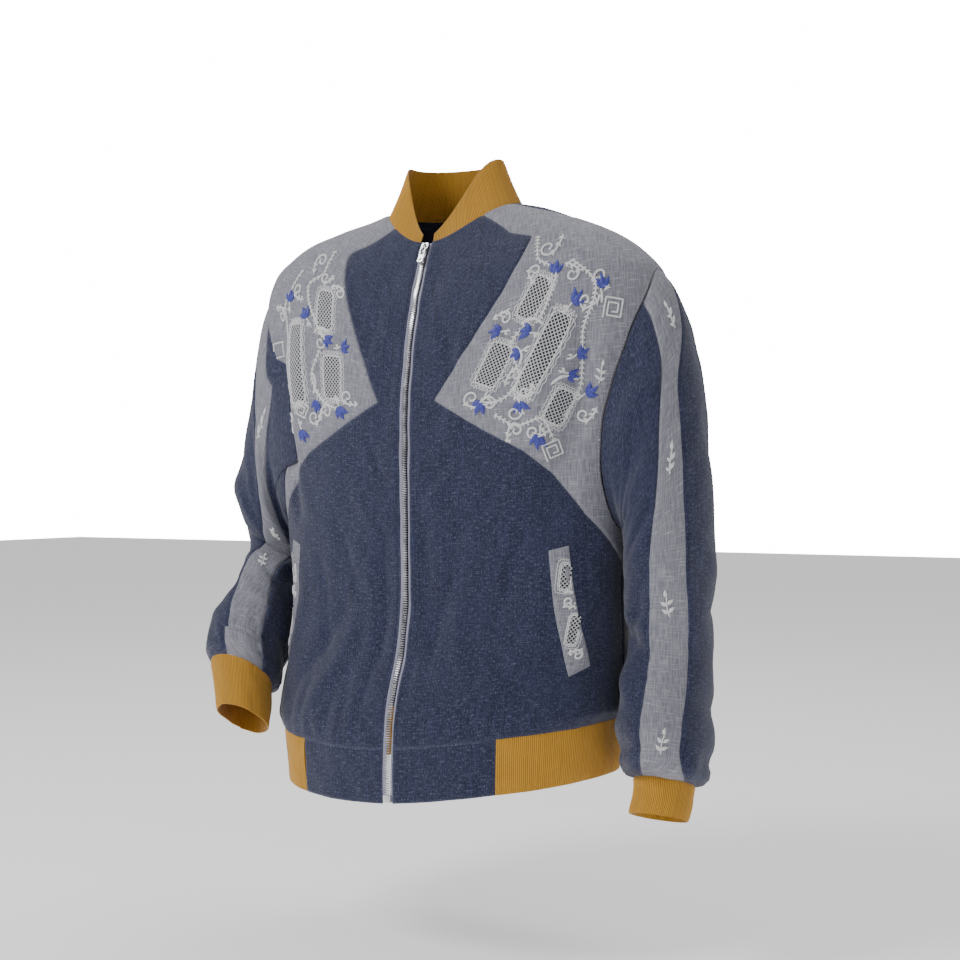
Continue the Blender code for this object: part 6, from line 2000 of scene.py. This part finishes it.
# %% Tables of motifs
Motif = namedtuple("Motif", "kind angle down size tilt")
Pane = namedtuple("Pane", "angle down wide tall tilt")
CHEST_PANES = {
    1: [
        Pane(54.6, 0.148, 21, 42, 32),
        Pane(42.6, 0.207, 25, 46, 26),
        Pane(57.0, 0.206, 22, 86, 30),
        Pane(62.5, 0.260, 21, 36, 27),
    ],
    -1: [
        Pane(-46.5, 0.153, 23, 42, -10),
        Pane(-41.0, 0.222, 25, 46, -8),
        Pane(-56.5, 0.215, 22, 80, -10),
    ],
}
CHEST_MOTIFS = {
    1: [
        Motif("scroll", 62.0, 0.097, 20, 20),
        Motif("scroll", 56.0, 0.120, 14, 150),
        Motif("scroll", 64.5, 0.134, 15, 300),
        Motif("scroll", 66.5, 0.160, 14, 60),
        Motif("scroll", 50.0, 0.222, 15, 200),
        Motif("scroll", 53.0, 0.241, 12, 20),
        Motif("scroll", 35.0, 0.240, 18, 100),
        Motif("scroll", 42.0, 0.249, 16, 230),
        Motif("scroll", 50.5, 0.262, 18, 330),
        Motif("scroll", 56.5, 0.284, 14, 60),
        Motif("scroll", 51.5, 0.281, 16, 180),
        Motif("scroll", 70.5, 0.140, 15, 110),
        Motif("scroll", 46.0, 0.160, 14, 250),
        Motif("scroll", 69.0, 0.270, 15, 30),
        Motif("flower", 60.0, 0.128, 15, -70),
        Motif("flower", 63.5, 0.160, 15, -40),
        Motif("flower", 53.5, 0.182, 15, 200),
        Motif("flower", 51.0, 0.199, 14, 160),
        Motif("flower", 65.0, 0.208, 14, -20),
        Motif("flower", 63.5, 0.226, 13, 20),
        Motif("flower", 39.5, 0.246, 16, 120),
        Motif("flower", 52.0, 0.250, 16, 80),
        Motif("flower", 58.5, 0.288, 16, 100),
        Motif("flower", 70.0, 0.152, 15, -90),
        Motif("flower", 44.5, 0.173, 14, 190),
        Motif("flower", 68.5, 0.248, 14, -30),
        Motif("arc", 54.0, 0.174, 26, 12),
        Motif("arc", 50.0, 0.202, 22, 80),
        Motif("arc", 63.0, 0.235, 29, -6),
        Motif("square", 72.5, 0.170, 18, 12),
        Motif("square", 62.5, 0.305, 18, -20),
        Motif("sprig", 71.0, 0.230, 17, 10),
        Motif("sprig", 75.5, 0.300, 17, -8),
        Motif("sprig", 79.0, 0.210, 16, 15),
    ],
    -1: [
        Motif("scroll", -58.0, 0.100, 19, 160),
        Motif("scroll", -51.0, 0.118, 15, 30),
        Motif("scroll", -42.0, 0.128, 15, 250),
        Motif("scroll", -60.0, 0.142, 15, 90),
        Motif("scroll", -47.0, 0.188, 15, 310),
        Motif("scroll", -33.0, 0.240, 16, 80),
        Motif("scroll", -43.5, 0.260, 16, 200),
        Motif("scroll", -50.0, 0.268, 16, 20),
        Motif("scroll", -60.5, 0.272, 15, 140),
        Motif("scroll", -66.0, 0.170, 15, 260),
        Motif("flower", -62.5, 0.156, 15, 250),
        Motif("flower", -53.5, 0.168, 15, 220),
        Motif("flower", -45.5, 0.181, 14, 20),
        Motif("flower", -37.0, 0.252, 16, 60),
        Motif("flower", -48.0, 0.250, 15, 100),
        Motif("flower", -37.5, 0.186, 14, -20),
        Motif("flower", -62.5, 0.236, 14, 210),
        Motif("flower", -55.5, 0.282, 15, 70),
        Motif("arc", -47.0, 0.178, 24, -10),
        Motif("arc", -50.0, 0.232, 24, 85),
        Motif("square", -68.0, 0.205, 17, -12),
        Motif("square", -55.0, 0.262, 16, 20),
        Motif("sprig", -71.0, 0.248, 17, -10),
        Motif("sprig", -76.0, 0.310, 17, 8),
    ],
}
BACK_PANES = [Pane(118.0, 0.150, 20, 44, -10), Pane(112.0, 0.212, 20, 50, 14)]
BACK_MOTIFS = [
    Motif("scroll", 126.0, 0.140, 18, 30),
    Motif("scroll", 110.0, 0.140, 16, 200),
    Motif("flower", 124.0, 0.170, 15, 140),
    Motif("flower", 116.0, 0.182, 15, 20),
    Motif("scroll", 121.0, 0.196, 16, 310),
    Motif("scroll", 104.0, 0.200, 16, 90),
    Motif("flower", 106.0, 0.232, 15, 60),
    Motif("arc", 115.0, 0.240, 24, -20),
    Motif("scroll", 110.0, 0.258, 16, 160),
    Motif("flower", 102.0, 0.170, 15, 250),
    Motif("square", 104.0, 0.265, 17, 15),
    Motif("sprig", 98.0, 0.300, 17, 0),
    Motif("sprig", 112.0, 0.110, 17, 0),
]
STRIPE_SPRIGS = {
    1: [Motif("sprig", -2, 0.041, 20, 8), Motif("sprig", -1, 0.149, 20, -10), Motif("sprig", 2, 0.293, 21, 12),
        Motif("sprig", -2, 0.440, 20, -6)],
    -1: [Motif("sprig", 2, 0.060, 20, 8), Motif("sprig", 0, 0.180, 20, 10), Motif("sprig", 1, 0.300, 20, -8),
         Motif("sprig", -10, 0.422, 18, 0)],
}
WELT_PANES = [Pane(-1.1, -0.036, 11, 26, 8), Pane(0.6, 0.020, 11, 30, 8)]
WELT_MOTIFS = [
    Motif("scroll", -0.2, -0.010, 11, 80),
    Motif("scroll", 1.0, 0.047, 11, 250),
    Motif("arc", -0.3, -0.018, 12, 5),
]
LAYERS = {"flower": lay_flower, "arc": lay_arc, "square": lay_square, "sprig": lay_sprig, "scroll": lay_scroll}
VINES = {
    1: [
        [(62, 0.075), (58, 0.105), (61, 0.128), (56, 0.172)],
        [(66, 0.118), (69, 0.150), (66, 0.190), (67, 0.232), (64, 0.272)],
        [(52, 0.172), (48, 0.190), (51, 0.225), (46, 0.246), (38, 0.250)],
        [(44, 0.262), (52, 0.276), (58, 0.270), (62, 0.292)],
    ],
    -1: [
        [(-57, 0.080), (-53, 0.110), (-56, 0.135), (-49, 0.172)],
        [(-62, 0.120), (-64, 0.160), (-61, 0.200), (-63, 0.250)],
        [(-47, 0.196), (-50, 0.222), (-46, 0.248), (-38, 0.256)],
    ],
}
print("panes", sum(len(p) for p in CHEST_PANES.values()), "motifs", sum(len(m) for m in CHEST_MOTIFS.values()))

# %% [markdown]
# ### Sewing the needlework
# The panes are thin closed shells just off the grey cloth, with the openwork finish turned with
# each. Cords go round them, vines join the motifs, and leaves are set along both sides of every
# vine by the same tree that sets the stitches.

# %% Lay panes, cords and motifs on each grey piece
PANE_NET_TURN = 45
LEAF_PITCH = 5.2 * MM


def spot(cloth, angle, down):
    return cloth.flat(np.array([[float(angle), float(down)]]))[0]


def lay_panes(name, cloth, panes, strands):
    """Every pane of one grey piece as one mesh, with its cords."""
    outers, inners, faces, flats, start = [], [], [], [], 0
    for pane in panes:
        at = spot(cloth, pane.angle, pane.down)
        shape = (pane.wide, pane.tall, pane.tilt)
        flat = pane_outline(at, *shape)
        places, net, _ = net_within(flat, [], PANE_STEP)
        points, out = on_cloth(cloth, places, strands.base + PANE_LIFT)
        a, b, c = net[0]
        if np.cross(points[b] - points[a], points[c] - points[a]) @ out[a] < 0:
            net = [face[::-1] for face in net]
        outers.append(points)
        inners.append(points - out * PANE_THIN)
        faces += [[i + start for i in face] for face in net]
        flats.append(turned_places(places - at, -pane.tilt + PANE_NET_TURN, np.zeros(2)))
        start += len(points)
        for grow, waves, half in PANE_CORDS:
            cord = pane_outline(at, *shape, grow, waves)
            strands.lay(WHITE_THREAD, np.concatenate([cord, cord[:2]]), half, half)
    values = {"from_seam": np.full(start, 1.0)}
    return make_shell(
        name, np.concatenate(outers), np.concatenate(inners), faces, np.concatenate(flats), OPENWORK, values
    )


def lay_motifs(cloth, motifs, strands):
    for motif in motifs:
        LAYERS[motif.kind](strands, spot(cloth, motif.angle, motif.down), motif.size, motif.tilt)


def leaf_shape(way):
    def build(mesh):
        share = np.linspace(0, 1, 6)
        half = pointed(6, LEAF_WIDE * 0.8)
        points, faces = [], []
        for x, width in zip(share * LEAF_LONG * 0.8, half):
            points += [(x, -width, 0), (x, 0, width * 0.7), (x, width, 0), (x, 0, -width * 0.3)]
        for row in range(5):
            for i in range(4):
                j = (i + 1) % 4
                faces.append((row * 4 + i, row * 4 + 4 + i, row * 4 + 4 + j, row * 4 + j))
        faces += [(0, 1, 2, 3), (23, 22, 21, 20)]
        turn = radians(way)
        spin = [(x * cos(turn) - y * sin(turn), x * sin(turn) + y * cos(turn), z) for x, y, z in points]
        mesh.from_pydata(spin, [], faces)
        mesh.shade_smooth()

    return build


needlework = {}
LEAF_PIECES = [small_piece("leaf", leaf_shape(way)) for way in (48, 132)]
for side in (1, -1):
    word = WORDS[side]
    strands = Strands(body, "chest_piece_" + word)
    panes = lay_panes("openwork_" + word, body, CHEST_PANES[side], strands)
    lay_motifs(body, CHEST_MOTIFS[side], strands)
    vines = [curve_from([spot(body, *stop) for stop in stops]) for stops in VINES[side]]
    for vine in vines:
        strands.lay(WHITE_THREAD, vine, tapered(len(vine), VINE_CORD), tapered(len(vine), VINE_CORD))
    lines = [on_cloth(body, vine, 0.2 * MM) for vine in vines]
    leaves = [
        set_along(f"leaves_{word}_{i}", lines, piece, LEAF_PITCH, WHITE_THREAD, smallest=0.75)
        for i, piece in enumerate(LEAF_PIECES)
    ]
    needlework["chest_piece_" + word] = [panes, *strands.make("needlework_" + word), *leaves]
    behind = Strands(body, "shoulder_piece_" + word)
    panes = [pane._replace(angle=side * pane.angle, tilt=side * pane.tilt) for pane in BACK_PANES]
    motifs = [motif._replace(angle=side * motif.angle) for motif in BACK_MOTIFS]
    rear = lay_panes("openwork_back_" + word, body, panes, behind)
    lay_motifs(body, motifs, behind)
    needlework["shoulder_piece_" + word] = [rear, *behind.make("needlework_back_" + word)]
    on_sleeve = Strands(sleeves[side], "stripe_" + word)
    lay_motifs(sleeves[side], STRIPE_SPRIGS[side], on_sleeve)
    needlework["stripe_" + word] = on_sleeve.make("needlework_sleeve_" + word)
    on_welt = Strands(body, "welt_cover_" + word, WELT_LIFT)
    welt_middle = outlines["welt_cover_" + word].mean(axis=0)
    angle, down = body.unflat(welt_middle[None])[0]
    panes, motifs = [
        [thing._replace(angle=angle + side * thing.angle, down=down + thing.down) for thing in things]
        for things in (WELT_PANES, WELT_MOTIFS)
    ]
    panes = [pane._replace(tilt=side * pane.tilt) for pane in panes]
    on_panes = lay_panes("openwork_welt_" + word, body, panes, on_welt)
    lay_motifs(body, motifs, on_welt)
    needlework["welt_cover_" + word] = [on_panes, *on_welt.make("needlework_welt_" + word)]
for piece in LEAF_PIECES + [stitch]:
    forget(piece)

# %% [markdown]
# ## Metal parts that stay
# The slider, its pull and the box at the lower end keep their solids, whose shape is right. They
# only take the satin metal in place of the plain colour.

# %% Give the zip's hard parts their metal
HARD_PARTS = ("zip_slider", "zip_pull", "zip_box")
for name in HARD_PARTS:
    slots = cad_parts[name].data.materials
    for i in range(len(slots)):
        slots[i] = METAL
print("metal on", HARD_PARTS)

# %% [markdown]
# ## Riding on the body and replacing the solids
# Each piece rides on the jacket's body and hides the solid that it stands for, named in a table. The small
# pieces that lie on it ride on the body too.

# %% Ride and replace
REPLACED = {
    "back": "back_panel",
    "collar_knit": "collar",
    "hem_knit": "hem_rib",
    "block_right": "sleeve_patch_right",
}
for word in ("left", "right"):
    REPLACED |= {
        "front_" + word: "front_panel_" + word,
        "chest_piece_" + word: "chest_insert_" + word,
        "shoulder_piece_" + word: "back_insert_" + word,
        "band_" + word: "hem_band_" + word,
        "welt_cover_" + word: "welt_" + word,
        "tape_" + word: "zip_tape_" + word,
        "stripe_" + word: "sleeve_stripe_" + word,
        "arm_front_" + word: "sleeve_front_" + word,
        "arm_back_" + word: "sleeve_back_" + word,
        "cuff_knit_" + word: "cuff_" + word,
    }
SLOT_WORDS = (("knit", "rib"), ("tape", "zip_tape"), ("piece", "grey_cloth"), ("stripe", "grey_cloth"),
              ("block", "grey_cloth"), ("welt", "grey_cloth"))
extras = dict(needlework)
for side in (1, -1):
    word = WORDS[side]
    extras["front_" + word] = [stitches[side]]
    extras["chest_piece_" + word] = extras["chest_piece_" + word] + [pale_stitches[side]]
extras["back"] = [back_stitches]
for name, (piece, wide, tall, area) in sheets.items():
    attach(piece, JACKET)
    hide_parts(REPLACED[name])
    slot = next((slot for word, slot in SLOT_WORDS if word in name), "denim")
    held = "stretched" if slot in ("rib", "zip_tape") else "draped"
    for extra in extras.get(name, []):
        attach(extra, JACKET)
        "denim" if "stitches" in extra.name and "grey" not in extra.name else "grey_cloth"
for row in teeth:
    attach(row, JACKET)
    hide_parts("zip_chain")
print("sheets", len(sheets))
